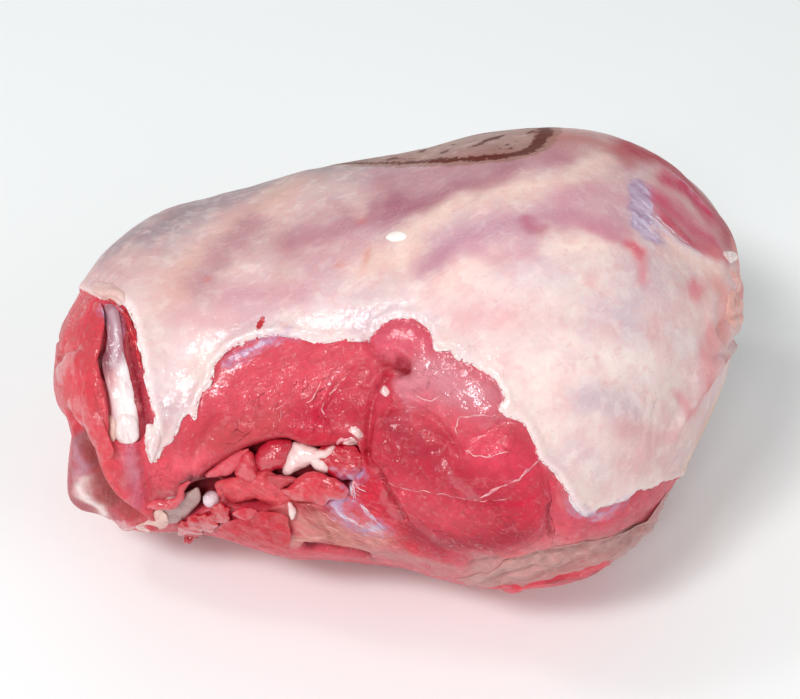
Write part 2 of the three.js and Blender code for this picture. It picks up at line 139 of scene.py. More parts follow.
BONE_RIM = [(-85, -57), (-81.5, -54.8), (-78.7, -52.3), (-76, -50.3), (-73.8, -53.5), (-74.6, -56.3),
            (-78, -58.2), (-82.5, -58.8)]
KNOB = [(-88.3, -22), (-85.5, -19.8), (-82, -20.6), (-80.8, -24), (-81.3, -28), (-84.5, -29.4), (-87.5, -28.4),
        (-88.6, -25.5)]
KNOB_FOLD = [(-90, -20.5), (-88.2, -21.5), (-87.6, -24.5), (-88.2, -28), (-90, -28.8), (-91, -26), (-90.6, -23)]
TROUGH_WALL = [(-88.5, 13), (-86.5, 11.5), (-84.5, 6), (-82.5, -1), (-80.5, -8), (-78.8, -16), (-77.8, -25.5),
               (-79.5, -30), (-81.3, -28), (-82, -20), (-83.5, -12), (-85.5, -4), (-87.3, 4)]
MEMBRANE = [(17, -72.8), (22, -70.6), (27, -68.6), (32.5, -65.3), (43.5, -60.6), (51.5, -57.3), (60, -56.5),
            (73.5, -52.5), (85, -45.5), (84, -53.5), (73.5, -61), (58, -65), (46, -69.5), (36, -74.2), (27, -75.4),
            (22, -74.4)]
LIP = [(-94.5, 14), (-92.6, 9), (-93, 1), (-93.8, -3), (-92.6, -8), (-90.8, -14.5), (-89.8, -21), (-90, -27),
       (-88.4, -31), (-90, -34), (-94, -32), (-97.5, -26), (-99.5, -18), (-101, -8), (-101, 2), (-99.5, 11), (-97, 15)]
FRINGE = [(-95, 18.5), (-92.5, 16.5), (-89.3, 13.8), (-85.5, 10), (-82.7, 3.5), (-81.3, -1), (-80, -6)]
JOINT_ROLL = [(-81, -50.5), (-78.5, -49), (-75, -48.8), (-71.5, -48.6), (-69, -46.5), (-67.8, -43), (-65, -41)]
# outline of a small raised lump on the fell, coloured near white as a painted highlight
HIGHLIGHT_OVAL = [(-4.2, 34.2), (-2.2, 36), (0.8, 36.1), (2.2, 35), (1.2, 33.6), (-1.8, 33)]
FELL_TIP = [(-78.5, -24), (-75.5, -23), (-73.8, -27), (-75.5, -32.5), (-77.3, -36), (-78.8, -31)]
FELL_CURL = [(-99, 22), (-92, 21), (-86.5, 17.5), (-87.5, 14), (-91, 15), (-98, 18)]
RUMP_FAT = [
    [(103, 30.8), (107.5, 32.2), (111.5, 31.8), (112, 29.6), (107, 27.9), (103.8, 28.4)],
    [(103.5, 26), (109, 26.6), (113.5, 23), (109.5, 18.8), (105, 21)],
    [(102, 18), (106, 19), (110.5, 16), (113, 10), (106.5, 6.5), (102.5, 11.5)],
]
GRISTLE_BITS = [  # outlines, sunk in the cavity, lying on the meat, and at the lower flap
    [(-26, -30.8), (-22.5, -29.8), (-19.8, -28.7), (-19.2, -30.6), (-21.5, -32.6), (-25, -33.2)],
    [(-27.8, -33.4), (-24.2, -32.9), (-21.2, -35.8), (-22.6, -37.6), (-25, -37)],
    [(-14.6, -23.4), (-13, -22.6), (-10.8, -26), (-12.5, -27.2)],
    [(-17, -28.7), (-14.5, -25.8), (-12.8, -27), (-14.5, -29.5)],
    [(-7.2, -11.4), (-5.6, -10), (-3.2, -12.6), (-4.6, -14.2)],
    [(-34.4, -46.6), (-33, -47), (-31.8, -50), (-33.4, -52.4), (-34.2, -49.6)],
]

# ---- mounds of the muscles: outline, height, softness; and hollows: outline, depth, softness ----
OVERHANG_FADE = (-12, 14)  # the overhang is gone above this t, and full this far below it
MUSCLES = [(LOBE, 2.6, 2.0), (GLOSSY_MUSCLE, 2.2, 2.5), (ROUND_MUSCLE, 3.2, 4.0), (END_MUSCLE, 1.6, 3.0)]
HOLLOWS = [(TROUGH, 5, 1.6), (CAVITY, 8, 2.6), (JOINT_HOLLOW, 9, 3)]

# ---- lamps: turn from the show side towards the rump, rise, size in metres, share of the key light's power, and
# whether wet surfaces mirror it: the big soft ones light the meat, and the small ones make its sparkles ----
LAMP_DISTANCE = 2.15  # metres
LAMPS = [
    ("Key", -38, 52, 0.5, 0.62, False), ("Fill", 55, 28, 1.4, 0.42, False), ("Back", 190, 45, 1.8, 0.18, False),
    ("Key_glint", -46, 50, 0.34, 0.3, True), ("Left_glint", -96, 55, 0.3, 0.17, True),
    ("Front_glint", -14, 40, 0.34, 0.26, True), ("Low_glint", -54, 8, 0.34, 0.14, True),
    ("Rump_glint", 134, 14, 0.3, 0.04, True),
]

# ---- spacing of points along a cord, and the length over which its ends draw in ----
CORD_STEP, CORD_TAPER = 0.4, 2.0

# ---- creases: path, width, depth ----
CREASES = [
    ([(-105, -21), (-103, -24), (-100, -27), (-97.5, -33), (-96.5, -39.5), (-93.5, -46), (-89, -51), (-83.5, -54)],
     2.0, 4.2),
    ([(-92, 1), (-94, -2.5), (-93.3, -8)], 1.0, 3.0),
    ([(-93, 0.5), (-99, 0), (-104, -1.5), (-109, -5)], 0.8, 1.1),
    ([(-114, 6), (-110, 1), (-107, -4)], 0.8, 1.0),
    ([(-80.8, -28), (-80.5, -36), (-80, -44), (-79, -49)], 1.0, 1.6),
    ([(-10.5, 3.5), (-8, 0.5), (-4, -2.5), (0.5, -3)], 0.9, 2.5),
    ([(-1, -3), (1.5, -5.5)], 1.4, 4.0),
    ([(1, -3.5), (1.5, -5.5), (0.5, -7), (-3.5, -7), (-5, -8.5), (-7, -11)], 0.9, 3.0),
    ([(-6.5, -12), (-8.5, -15), (-9, -18.5), (-9.5, -24), (-10.5, -31)], 0.9, 1.1),
    ([(-10.5, -31), (-9, -34.5), (-5.5, -37.5), (-3.5, -42), (-0.5, -47), (1.5, -52)], 0.9, 1.8),
    ([(-14, -28.5), (-14, -34.5), (-12, -37)], 0.8, 1.4),
    ([(-13.5, -37.3), (-9, -39), (-5, -39.5)], 0.7, 1.0),
    ([(-1.5, -16.5), (6, -18), (11.5, -21.5), (14.5, -25.5), (18.5, -29)], 0.8, 1.2),
    ([(-7, -31.5), (3, -30.5), (14.5, -29)], 0.6, 0.6),
    ([(0, -41.5), (15, -43), (35.5, -44)], 0.8, 0.6),
    ([(44, -46.5), (44.4, -50), (45.8, -56)], 0.55, 0.9),
    ([(-15, -5.5), (-18, -9), (-21, -13), (-23, -16), (-24.5, -18.5), (-23, -20.5)], 0.7, 0.9),
    ([(-29, -46.5), (-25, -53), (-21.5, -60.5)], 0.7, 0.9),
    ([(-34.5, -52.5), (-30, -55), (-16.5, -63)], 0.6, 0.6),
    ([(-32.5, -46.5), (-27.5, -50), (-16.5, -58.5)], 0.6, 0.6),
    ([(-22.5, -50), (-11.5, -58.5)], 0.6, 0.5),
    ([(22, -66.5), (35, -64.5), (46, -61.5), (58, -58.5), (70, -55.5), (84, -51.5)], 1.3, 1.6),
    ([(29.5, -76), (34.5, -74), (46.5, -69.5), (53, -68), (65.5, -65.8), (79, -59)], 1.0, 1.6),
    ([(114, 4), (104, 1.5), (100.5, -1), (97, -2.5)], 1.2, 1.8),
    ([(110, 12), (104, 10), (100, 6)], 1.0, 1.2),
    ([(-30, -63.6), (-23.5, -64.4), (-17.3, -66), (-11, -67.6)], 1.1, 4.5),
]
# ---- broad bumps: middle on the sheet, radius, height ----
SWELLS = [
    (-104, 4, 9, 2.5), (-103, -8, 9, 3), (-99, -20, 8, 2.5), (-60, -14, 16, 1.5), (-84, -44, 7, -2.5),
    (-66, -40, 9, 1.5), (78, 48, 12, -1.5), (95, 40, 9, -1.5), (101, 27, 7, 2), (100, -3, 6, 1.5),
    (64, 20, 22, 1), (14, -30, 18, 1.5), (-20, 30, 30, 1), (-34, 60, 20, 3.2), (30, 76, 24, -2.4),
    (104, 52, 15, -3.2), (-114, -27, 7, -5.5), (-108, -50, 10, 6), (62, -74, 20, 4.5), (84, -62, 14, 2.5),
    (-16, -76, 18, -2.5),
]
# ---- colours of the tendon: path, width, colour, strength ----
TENDON_STROKES = [
    ([(-91.5, 13), (-89.5, 6), (-88.5, -1), (-88.8, -5)], 5, "#a07484", 0.9),
    ([(-91, 12), (-89, 6.5), (-88.5, 1), (-89.5, -5)], 0.9, "#d3bac4", 0.8),
    ([(-86.5, 8), (-85.5, 0)], 1.2, "#b0606a", 0.6),
    ([(-92, -1), (-90.5, -7)], 1.8, "#7a3a4c", 0.8),
    ([(-88.5, -8.5), (-87.5, -13)], 2.6, "#d9a39f", 0.8),
    ([(-85.5, -6), (-85, -12), (-84.5, -18)], 2.6, "#f1e8e8", 0.9),
    ([(-90, -16), (-89, -20)], 1.5, "#c4838c", 0.8),
    ([(-86, -15), (-85, -21), (-85.5, -27)], 3.6, "#f3e8e6", 0.85),
]

# ---- raised ridges: path, width, height ----
RIDGES = [
    ([(115, 2), (107, 1), (100.5, -2.5), (94, -11.5), (88, -19), (83, -26.5)], 1.8, 1.9),
    ([(106.5, 22), (103, 15), (106, 9), (104, 3), (97.5, -2), (92, -10)], 2.4, 1.6),
    ([(112, 20), (110, 13), (113, 6)], 2.0, 1.6),
    ([(99, 17), (97, 9), (99, 2)], 1.6, 0.8),
    ([(76, 40.5), (81, 37), (87.4, 33), (94.5, 30), (101, 27.5)], 1.0, 0.6),
    ([(84, 60.5), (94, 56), (100.5, 52), (105, 46)], 0.9, 0.7),
    ([(78, 48), (84, 42.5), (91, 35.5)], 1.0, 0.5),
    ([(58.5, -9), (66, -10.5), (74.5, -14.5), (77.5, -16), (83, -12), (92.5, -10)], 0.7, -0.45),
    ([(77.5, -16), (76, -23), (75.5, -32.5)], 0.7, -0.4),
    ([(68, -13), (73, -23), (70, -33)], 0.8, -0.3),
    ([(84, -13), (90, -22), (87, -32)], 0.9, -0.4),
    ([(26.5, -69), (32.5, -64.5), (43.5, -59.5), (51.5, -56.5), (60, -56), (73.5, -52), (84, -49.5)], 1.0, 0.9),
    ([(35, -78), (40, -73), (50, -69), (58.5, -66.3), (69.5, -64.5), (78, -60)], 1.5, 1.2),
    ([(-98, 14), (-97.5, 5), (-98, -5), (-96, -14), (-93, -22), (-91.5, -28)], 3.0, 1.4),
    ([(-92.5, -31), (-91, -38), (-88, -45), (-83, -50.5), (-78, -52)], 3.0, 2.4),
    ([(-103, -55), (-97.5, -57.5), (-92.5, -59), (-84, -56), (-79, -57.5)], 1.8, 1.6),
    ([(-103, -30), (-103.5, -40), (-102, -50)], 3.0, 1.5),
]

# ---- glossy blue-white tissue over the meat: outlines ----
SILVER = [
    [(-55.5, -4), (-50, 0.5), (-44, 3), (-38, 3.9), (-31, 4), (-36, 1.6), (-42, -0.8), (-48, -3), (-54, -6)],
    [(-22, -36), (-17, -37.2), (-12.5, -37.5), (-11.5, -39.5), (-14.5, -41.5), (-14.8, -45), (-16.4, -45),
     (-16.2, -42), (-18.5, -39)],
    [(-22.5, -46.5), (-18.2, -44.5), (-13.2, -46.2), (-8.6, -51.3), (-4.6, -57.3), (-9.8, -58), (-15.6, -55.4),
     (-19.6, -52)],
    [(69.5, 48), (72, 52), (76, 53.3), (80.5, 50.5), (80, 44), (79, 38.4), (81.5, 33.5), (80, 31), (74.9, 34.1),
     (70, 40)],
    [(50, -41), (53, -45.8), (56, -47), (62, -46), (72, -43), (72, -45), (60, -49), (54, -50), (51, -46)],
    [(-94, 14), (-89.5, 13), (-88, 7), (-91, 2), (-92, 8)],
]
SILVER_GAPS = [
    [(-17, -48.6), (-13, -48.6), (-9.6, -52.6), (-9.8, -54.6), (-14, -52.8)],
]
# ---- drops of blood: middle, radius ----
BLOOD = [(-43, 7.4, 1.3), (-42.3, 8.8, 1.2), (-43.6, 5.9, 0.8), (-35.5, 13.5, 0.6), (-35.4, 12, 0.4),
         (-44, 3.5, 0.5), (63.5, 4, 0.7)]

# ---- what the strongest reds are multiplied by ----
DEEP_RED = (1.0, 0.6, 0.68)

# ---- clouds of tone in the fell: place in the noise, its scale, from, to, colour, share ----
FELL_CLOUDS = [(31, 0.06, 0.5, 0.7, "#dd9fa4", 0.28), (57, 0.05, 0.5, 0.7, "#b99bb4", 0.25),
               (83, 0.07, 0.5, 0.72, "#f5e0cc", 0.25), (19, 0.16, 0.5, 0.64, "#e2a6a8", 0.25),
               (43, 0.2, 0.5, 0.66, "#f7e9e2", 0.25), (91, 0.45, 0.56, 0.7, "#d28f98", 0.2)]
# ---- directions that the grain is mixed from, in degrees ----
FIBRE_ANGLES = (-32.0, 18.0, 85.0)
# ---- fibre, strand and ripple: scale along, across and into the meat, detail ----
GRAINS = [((0.14, 1.5, 0.6), 3.0), ((0.06, 1.1, 0.5), 5.0), ((0.3, 1.0, 0.7), 2.0)]
# ---- thin pale lines in the fell: direction, place in the noise ----
SKIN_LINES = [(-28, 3), (38, 40), (-8, 70)]
# ---- path of the wrinkled band under the rump end ----
WRINKLED = [(24, -71), (36, -68), (48, -64), (60, -61), (72, -58), (82, -53)]
# ---- the inspection stamp: radius of the girth, line width along x, and the ring as (x, degrees round) ----
STAMP_GIRTH = 75.0
STAMP_LINE = [(-30, 0.7), (0, 1.0), (12, 1.4), (30, 1.8), (38, 2.4), (48, 2.4)]
STAMP_RING = [(-28.5, 153), (-13.5, 135), (0, 122), (9.7, 114), (19, 107.5), (28.6, 103.6), (38, 104), (43.3, 109),
              (47.7, 121), (48, 134), (42, 146), (28, 153), (12, 160), (-8, 165), (-22, 164)]

# ---- colours laid on with a soft brush: path, width, colour, strength ----
FELL_STROKES = [
    ([(-75, -8), (-60, 2), (-40, 8), (-10, 11), (10, 13)], 6, "#ecd6d7", 0.7),
    ([(30, 12), (60, 10), (85, 3)], 15, "#eed9d6", 0.7),
    ([(35, -8), (55, -22), (72, -34)], 12, "#eed9d4", 0.7),
    ([(3.5, 16.5), (22, 21), (45.5, 17), (66.5, 2)], 6, "#f3ddd6", 0.6),
    ([(48, 0), (58, 0), (70, -3)], 7, "#f6e6e0", 0.8),
    ([(42, -10), (51, -8), (60, -7)], 5, "#f4e0d8", 0.7),
    ([(26, 14), (36, 9), (48, 8)], 5, "#e6c8c4", 0.6),
    ([(-101.5, 33), (-84, 38.5), (-72, 47.5), (-55.5, 55), (-36, 60), (-10, 66)], 9, "#a08a90", 0.9),
    ([(-100, 25), (-85, 27), (-75, 20)], 7, "#d6b3ae", 0.6),
    ([(-70, 16.5), (-68.5, 25.5), (-63, 32), (-54.5, 39), (-42.5, 46.5), (-34.5, 53)], 5, "#e2c6b4", 0.9),
    ([(-64, 20), (-55.5, 30), (-47, 38)], 7, "#b0878f", 0.8),
    ([(-39, 43), (-38, 31.5), (-36.5, 19)], 2.8, "#dfc4b8", 0.7),
    ([(-34, 32), (-19.5, 37), (-11, 40), (-2, 42)], 7.5, "#ab7a86", 0.8),
    ([(-28, 25), (-19.5, 29), (-12.5, 31)], 6, "#cda6ab", 0.6),
    ([(-13, 51), (-11.5, 40.5)], 1.3, "#d9bdb4", 0.6),
    ([(-5.5, 54), (-4.5, 42)], 1.2, "#d9bdb4", 0.6),
    ([(3.5, 55), (5, 43)], 1.3, "#d9bdb4", 0.6),
    ([(-4, 27.5), (-10.5, 25), (5, 30.5)], 4, "#e9d0bd", 0.6),
    ([(-4.5, 54), (8.5, 57), (23.5, 61), (38, 62.5), (49, 64)], 7, "#b98d95", 0.8),
    ([(-2.5, 43.5), (9.5, 46.5), (23, 52), (34.5, 55.5)], 5, "#a87684", 0.9),
    ([(49, 62), (62, 62), (71, 60)], 4.5, "#b8828e", 0.6),
    ([(48, 71), (56, 69), (64, 68), (74, 63)], 4, "#b87c72", 0.75),
    ([(0, 27), (6.5, 37), (15, 43), (25.5, 47.5), (37, 50.5), (48, 52.5), (57, 56), (65, 61)], 3.8, "#edd6c8", 0.97),
    ([(14, 29), (22, 34), (31.5, 38), (42, 40), (52, 42)], 6, "#bd94a6", 0.88),
    ([(8, 24), (12, 26)], 4.5, "#bb8e9d", 0.8),
    ([(49, 46), (59, 49), (69, 48)], 6, "#cd9fa9", 0.75),
    ([(60, 40), (66, 38)], 5, "#cfa3ae", 0.6),
    ([(13, 20), (20, 25), (29.5, 29), (40.5, 30), (52, 31.5), (61.5, 29.5), (69, 30)], 3.4, "#f3ddd2", 0.8),
    ([(36, 21), (51, 20)], 5, "#dccad0", 0.6),
    ([(-68, 9), (-60, 9), (-46, 10)], 4.5, "#d9b0b3", 0.75),
    ([(-68, 1.5), (-60, 3), (-53, 6)], 3.5, "#e4c2c4", 0.6),
    ([(-54, 16.5), (-46, 16.5), (-31, 16.5)], 5, "#cb9ca6", 0.75),
    ([(17, 8.7), (24, 9.3), (33, 9.2)], 4, "#e2b8b7", 0.75),
    ([(48, 38.5), (57, 37.5), (67, 37.5)], 4.5, "#c596a4", 0.75),
    ([(22.5, 30), (30, 29), (38, 30)], 3.5, "#cfa2ad", 0.75),
    ([(56, 11), (66, 8)], 7, "#c9b6c0", 0.75),
    ([(54, -14), (61, -15), (69, -19)], 4.5, "#c9b4bb", 0.75),
    ([(67, -24.5), (75.5, -27), (85, -27)], 4.5, "#d6aaaa", 0.8),
    ([(66, -33.5), (76, -35), (85, -37.5)], 4, "#dab6b4", 0.8),
    ([(82.5, 14.5), (80, 8)], 5, "#dacdd3", 0.5),
    ([(68.5, 31), (70.5, 28)], 1.8, "#d2546a", 0.85),
    ([(70.5, 28), (72.5, 24), (73, 20)], 2.4, "#dd8290", 0.6),
    ([(90, 20), (92.5, 16.5)], 2.8, "#d97684", 0.75),
    ([(95, 8), (96, -2), (94, -12), (90, -20)], 2.4, "#dd8e8e", 0.6),
    ([(85.5, -14), (88, -20)], 1.8, "#dc9096", 0.6),
    ([(99, 24), (103, 12), (101, 3)], 3.0, "#e6ada2", 0.5),
    ([(58, 36), (66, 33)], 3.0, "#c88a9c", 0.6),
    ([(75, 8), (84, 13), (90, 12)], 4.0, "#e7c4c0", 0.6),
    ([(81, 48), (87, 45.5), (93.5, 42), (99.5, 37), (102.5, 32)], 4.4, "#cc5680", 0.93),
    ([(83, 41), (88.5, 37.5), (94, 34), (98, 32)], 4, "#c44f6c", 0.95),
    ([(76, 68), (88, 64), (97, 59), (104, 53.5), (108.5, 46), (110.5, 37)], 5.4, "#b40a3e", 0.99),
    ([(88, 55.5), (94, 54), (100, 51), (105, 45)], 4, "#c43464", 0.97),
    ([(86, 60.5), (94, 56), (100.5, 52), (105, 46)], 0.7, "#d79fb2", 0.6),
    ([(76, 40.5), (81, 37), (87.4, 33), (94.5, 30), (101, 27.5)], 1.7, "#e6d2d8", 0.85),
    ([(83, 34), (90.3, 28.5), (99.6, 25.8)], 3.2, "#efd4c8", 0.85),
    ([(99, 32), (105, 30)], 2.6, "#e08f90", 0.8),
    ([(113, 34), (112.5, 25), (110, 18), (112, 9)], 2.6, "#e0968a", 0.75),
    ([(98, 20), (102, 14), (100, 4.6)], 4, "#dfa296", 0.6),
    ([(117, 7), (112, -7.5), (106, -19.7), (100, -31.7), (95, -39.5), (91, -46)], 4.4, "#dcc294", 0.97),
    ([(110, 0), (100.5, -3.5), (94, -12.5), (88, -20)], 1.1, "#d98c8b", 0.6),
    ([(38.5, 40), (39, 37), (42, 36)], 1.6, "#b3667b", 0.6),
    ([(-17.5, 26.5), (-17.4, 26.4)], 1.5, "#d79a78", 0.5),
    ([(-10, 28.5), (-9.9, 28.4)], 1.7, "#d79f7c", 0.5),
    ([(-11, 38.5), (-10.9, 38.4)], 1.3, "#c98672", 0.5),
    ([(-62, 21.5), (-61.9, 21.4)], 0.9, "#d08860", 0.6),
    ([(58, 20), (58.1, 20.1)], 1.4, "#dd9a98", 0.6),
    ([(-110, 22), (-100, 19), (-94.5, 16.5), (-89, 17)], 1.6, "#dcb9ab", 0.8),
    ([(-88, 15.5), (-84, 11), (-81, 2), (-78.5, -10), (-76, -22), (-77, -27)], 2.0, "#f4e2de", 0.9),
    ([(-97, 32), (-82, 38), (-66, 47), (-50, 54), (-30, 59)], 6, "#a0949a", 0.45),
    ([(0, 45.5), (12.5, 47), (22, 50)], 3.5, "#a0707e", 0.5),
]
MEAT_STROKES = [
    ([(-106, 14), (-104, 0), (-101, -20)], 9, "#d25256", 0.8),
    ([(-110, 8), (-108, -8), (-104, -20)], 3, "#b74a4c", 0.5),
    ([(-101, -33), (-103, -45), (-97, -56)], 7, "#a04850", 0.85),
    ([(-98, -31), (-95, -35), (-93.5, -42), (-92, -48)], 3.2, "#8e4238", 0.85),
    ([(-101.8, -27), (-101.8, -32), (-101.3, -39)], 1.5, "#b98f9c", 0.85),
    ([(-99.8, -42.5), (-98, -46.2), (-96.2, -50.7), (-95.7, -53.5)], 1.8, "#f0dedb", 0.95),
    ([(-100, -27), (-97.5, -33), (-96.5, -39.5), (-93.5, -46), (-89, -51), (-83.5, -54)], 2.6, "#8f534b", 0.85),
    ([(-102, -54.5), (-96, -58.3), (-89.6, -60), (-79, -59)], 2.4, "#cc3038", 0.9),
    ([(-86, 10.5), (-84, 3), (-81.5, -7), (-79, -17), (-78, -25.5)], 2.2, "#8c2031", 0.9),
    ([(-87.5, 9), (-85.5, 1.5), (-84, -7), (-81.5, -17), (-80.8, -25)], 0.8, "#b46a60", 0.8),
    ([(-96, 19.5), (-93.5, 17.5), (-90, 14.5), (-85.5, 10.5), (-82.5, 3.5), (-81, -0.5)], 0.9, "#c11f2f", 0.9),
    ([(-92, -31), (-90.5, -38), (-87.5, -45), (-82, -50)], 4, "#d75a60", 0.8),
    ([(-84, -31), (-83, -42), (-83, -48)], 2.4, "#b87088", 0.7),
    ([(-76, -33), (-72, -40), (-74, -46)], 5, "#d65762", 0.7),
    ([(-60, -16), (-48, -6), (-30, -2), (-15, -2)], 7, "#cf5665", 0.7),
    ([(-62, -30), (-45, -22), (-28, -22), (-14, -20)], 5, "#bd4150", 0.7),
    ([(-58, -30), (-48, -26), (-38, -22)], 6, "#bd5558", 0.85),
    ([(-28, -22), (-22, -20), (-16.5, -16.5), (-10.5, -14), (-6, -10.5)], 5.5, "#bc1242", 0.9),
    ([(-30, -27.5), (-21, -28), (-15, -29), (-10.5, -31)], 3.5, "#c4203c", 0.8),
    ([(-57, -38), (-40, -33), (-26, -32), (-15, -35)], 6, "#b01c34", 0.85),
    ([(-53, -48.5), (-44.5, -48), (-38, -50)], 2.4, "#9c1029", 0.9),
    ([(-74, -50), (-66, -47), (-59, -46)], 5, "#8d4246", 0.8),
    # painted shadow: a near-black stroke at the top of the joint hollow
    ([(-67.5, -42.5), (-65, -41), (-61.5, -42)], 2, "#3c1417", 0.8),
    ([(-70, -36), (-64, -36), (-58, -33)], 3, "#e0707a", 0.7),
    ([(-20, -33), (-16, -33), (-14, -30)], 3, "#a8192f", 0.7),
    ([(-6, 2), (2, 5), (7, 2)], 5, "#d46478", 0.92),
    ([(1, -10), (10, -8), (24, -14)], 7.5, "#cf8f99", 0.95),
    # painted shade in the deep crease under the lobe
    ([(-4, -4.5), (1, -5.5)], 2.2, "#8c1020", 0.9),
    ([(-4.5, -8), (-4, -14), (-5, -20)], 3, "#c42a46", 0.85),
    ([(-10, -6), (-14, -18), (-16, -26)], 4, "#b83a4b", 0.6),
    # painted shade: darker crimson just below the glossy muscle's lower edge, where it steps down
    ([(-4, -24), (4, -27), (10, -30)], 5, "#962a3c", 0.85),
    ([(-2, -32), (12, -36), (20, -38), (35, -44)], 8, "#b0203e", 0.9),
    ([(-6, -45), (0, -52), (8, -57.5), (21, -58), (33, -54)], 7, "#b81c3e", 0.9),
    ([(-8, -42), (-8, -50), (-5, -57), (2, -62)], 4, "#cc1038", 0.85),
    ([(24, -28), (38, -34)], 5, "#d64c66", 0.7),
    ([(38, -40), (40, -50)], 4.5, "#cc2448", 0.75),
    ([(26, -62), (40, -60.5), (52, -57.5)], 3, "#dd6a74", 0.8),
    ([(50, -50), (60, -53), (78, -48)], 7, "#cd5f6e", 0.7),
    ([(-32, -50), (-22, -57), (-8, -62)], 5, "#d0a092", 0.92),
    ([(-34, -49), (-27.5, -50), (-21.5, -49)], 2, "#a82840", 0.8),
    ([(-30, -51), (-25, -56), (-18, -62)], 0.8, "#a83a44", 0.7),
    ([(-24, -51), (-16, -58), (-8, -63)], 0.9, "#b04048", 0.7),
    ([(-33, -56), (-27, -60), (-22, -62)], 0.7, "#ddb09c", 0.7),
    ([(-21, -56), (-12, -62)], 0.6, "#d9a898", 0.6),
    ([(-34.5, -60.5), (-27, -60.5), (-22, -61.5), (-12, -64.8)], 1.6, "#dcb3a2", 0.8),
    ([(-16, -49.5), (-12, -53)], 2.5, "#cc4a58", 0.7),
    ([(-12.5, -65), (0, -67), (12, -69), (25, -71)], 2.6, "#b98a86", 0.75),
    ([(24, -68.5), (36, -65), (47, -61.5), (60, -60), (78, -55)], 4.6, "#b5908a", 0.95),
    ([(27, -71), (40, -66.5), (52, -63.5), (66, -61)], 1.8, "#c49a8e", 0.6),
    ([(30, -78), (40, -74), (50, -70), (60, -67), (72, -64.5), (80, -59)], 2.8, "#de2c4c", 0.95),
    ([(45, -72), (60, -68.5), (72, -65.5)], 0.8, "#9c1226", 0.8),
    # painted shade in the deep slit near the underside
    ([(-30, -63.6), (-23.5, -64.4), (-17.3, -66), (-9, -68)], 1.5, "#780f22", 0.85),
    # painted shade along the split at the rump side of the round muscle
    ([(44, -46), (44.4, -50), (45.8, -56)], 0.7, "#96142a", 0.85),
    ([(43.2, -36), (44, -45)], 0.4, "#b03048", 0.6),
    ([(2, -56), (12, -58.5), (24, -57.5), (34, -54)], 4.2, "#9e0a30", 0.9),
    # painted shade along the crease between the upper meat and the round muscle
    ([(-9.5, -24), (-10.5, -31), (-9, -34.5), (-5.5, -37.5), (-3.5, -42), (-0.5, -47)], 0.8, "#9c1a2f", 0.7),
]
# ---- wet places: path, width, strength ----
WET_STROKES = [
    ([(-74.5, -5), (-70.5, -12), (-73, -18), (-71, -24)], 4, 1.0),
    ([(-66.5, -8), (-60, 1), (-52, 4), (-42, 7), (-25, 7), (-10, 9), (2, 12)], 3.6, 1.0),
    ([(-59.5, -16), (-57, -10.5), (-54, -6.5), (-51, -4)], 2.4, 1.0),
    ([(-5, 6), (0, 4.5), (5, 6)], 4.5, 1.0),
    ([(6, -3), (18, -6), (27, -13)], 5.5, 1.0),
    ([(14, -12), (24, -20), (34, -22)], 3.5, 0.9),
    ([(30, -17), (38, -25), (44, -33), (50, -42)], 3.5, 0.9),
    ([(11, -33), (16, -38), (22, -43)], 2, 1.0),
    ([(-4.5, -41), (-4, -45), (-2.5, -47.5), (-0.5, -51)], 1.6, 1.0),
    ([(-104.5, -7.5), (-100, -2.5), (-96, -2)], 4, 0.9),
    ([(-98.5, -17), (-93, -18.5), (-91, -20)], 3, 1.0),
    ([(-86, -30), (-83.5, -36), (-84, -44)], 3, 1.0),
    ([(-79, -50), (-72, -46)], 2.5, 0.6),
    ([(-73.5, -32), (-70, -30), (-65, -24)], 2.4, 1.0),
    ([(-94, -58), (-80, -57)], 2, 0.8),
    ([(-16, -30), (-14, -24)], 3, 0.8),
    ([(-20, -48), (-8, -56)], 3, 0.7),
    ([(-66, -57), (-56, -52)], 4, 0.9),
    ([(73, 45), (80, 36), (86, 33)], 1.4, 0.5),
    ([(-64, -18), (-61.5, -10), (-57, -5)], 3, 1.0),
    ([(-100, -22), (-97, -28), (-94, -33)], 2.6, 0.8),
    ([(50, -42), (55, -48), (66, -45)], 2.4, 0.9),
]
# ---- direction of the fibres: path, width, angle in degrees ----
GRAIN_STROKES = [
    ([(-104, 10), (-104, -20), (-98, -50)], 14, 85),
    ([(-84, 5), (-80, -25), (-84, -50)], 7, 100),
    ([(-60, -15), (-40, -8), (-20, -6)], 12, 28),
    ([(0, 4), (5, 2)], 6, -20),
    ([(8, -10), (22, -14)], 8, -36),
    ([(0, -30), (20, -40), (36, -50)], 14, -10),
    ([(55, -52), (80, -48)], 8, 14),
    ([(30, -68), (60, -61), (80, -55)], 6, 24),
]

# ---- thin lines on the meat: path, half width ----
WHITE_LINES = [
    ([(24, -42.5), (30, -39.5), (36, -36), (41, -32)], 0.34),
    ([(17, -24.5), (18, -20), (20.5, -19.5), (28.5, -19)], 0.26),
    ([(18.5, -28.5), (23, -30.5), (28.5, -30.5), (32, -29)], 0.15),
    ([(-6.5, -39), (4, -41), (14, -42), (21, -43.5), (33, -43.5)], 0.14),
    ([(-2.5, -25), (-1, -22.5), (0.5, -22)], 0.18),
    ([(-22.5, -36), (-16.5, -38), (-14.5, -39.5), (-14.5, -45)], 0.35),
    ([(-16.5, -38), (-12, -42.5)], 0.22),
    ([(-24, -9), (-26, -14), (-31, -18)], 0.16),
    ([(-39, -17), (-36, -19), (-37, -22)], 0.15),
    ([(-43, -50.5), (-42.5, -59)], 0.2),
    ([(-41.5, -58.5), (-39.5, -61.5)], 0.2),
    ([(-24, -30), (-20, -29.5), (-17, -27), (-13, -26.5)], 0.45),
    ([(-30, -52), (-20, -57), (-8, -62)], 0.14),
    ([(-26, -50), (-12, -58), (0, -63)], 0.14),
    ([(4, -14), (10, -15), (13, -13)], 0.15),
    ([(-15, -5.5), (-20, -11.3), (-23.6, -17), (-22.8, -20)], 0.26),
    ([(-38, -18), (-33.7, -16)], 0.18),
    ([(-23.5, -19.5), (-20, -20.8), (-17, -22.5)], 0.14),
]

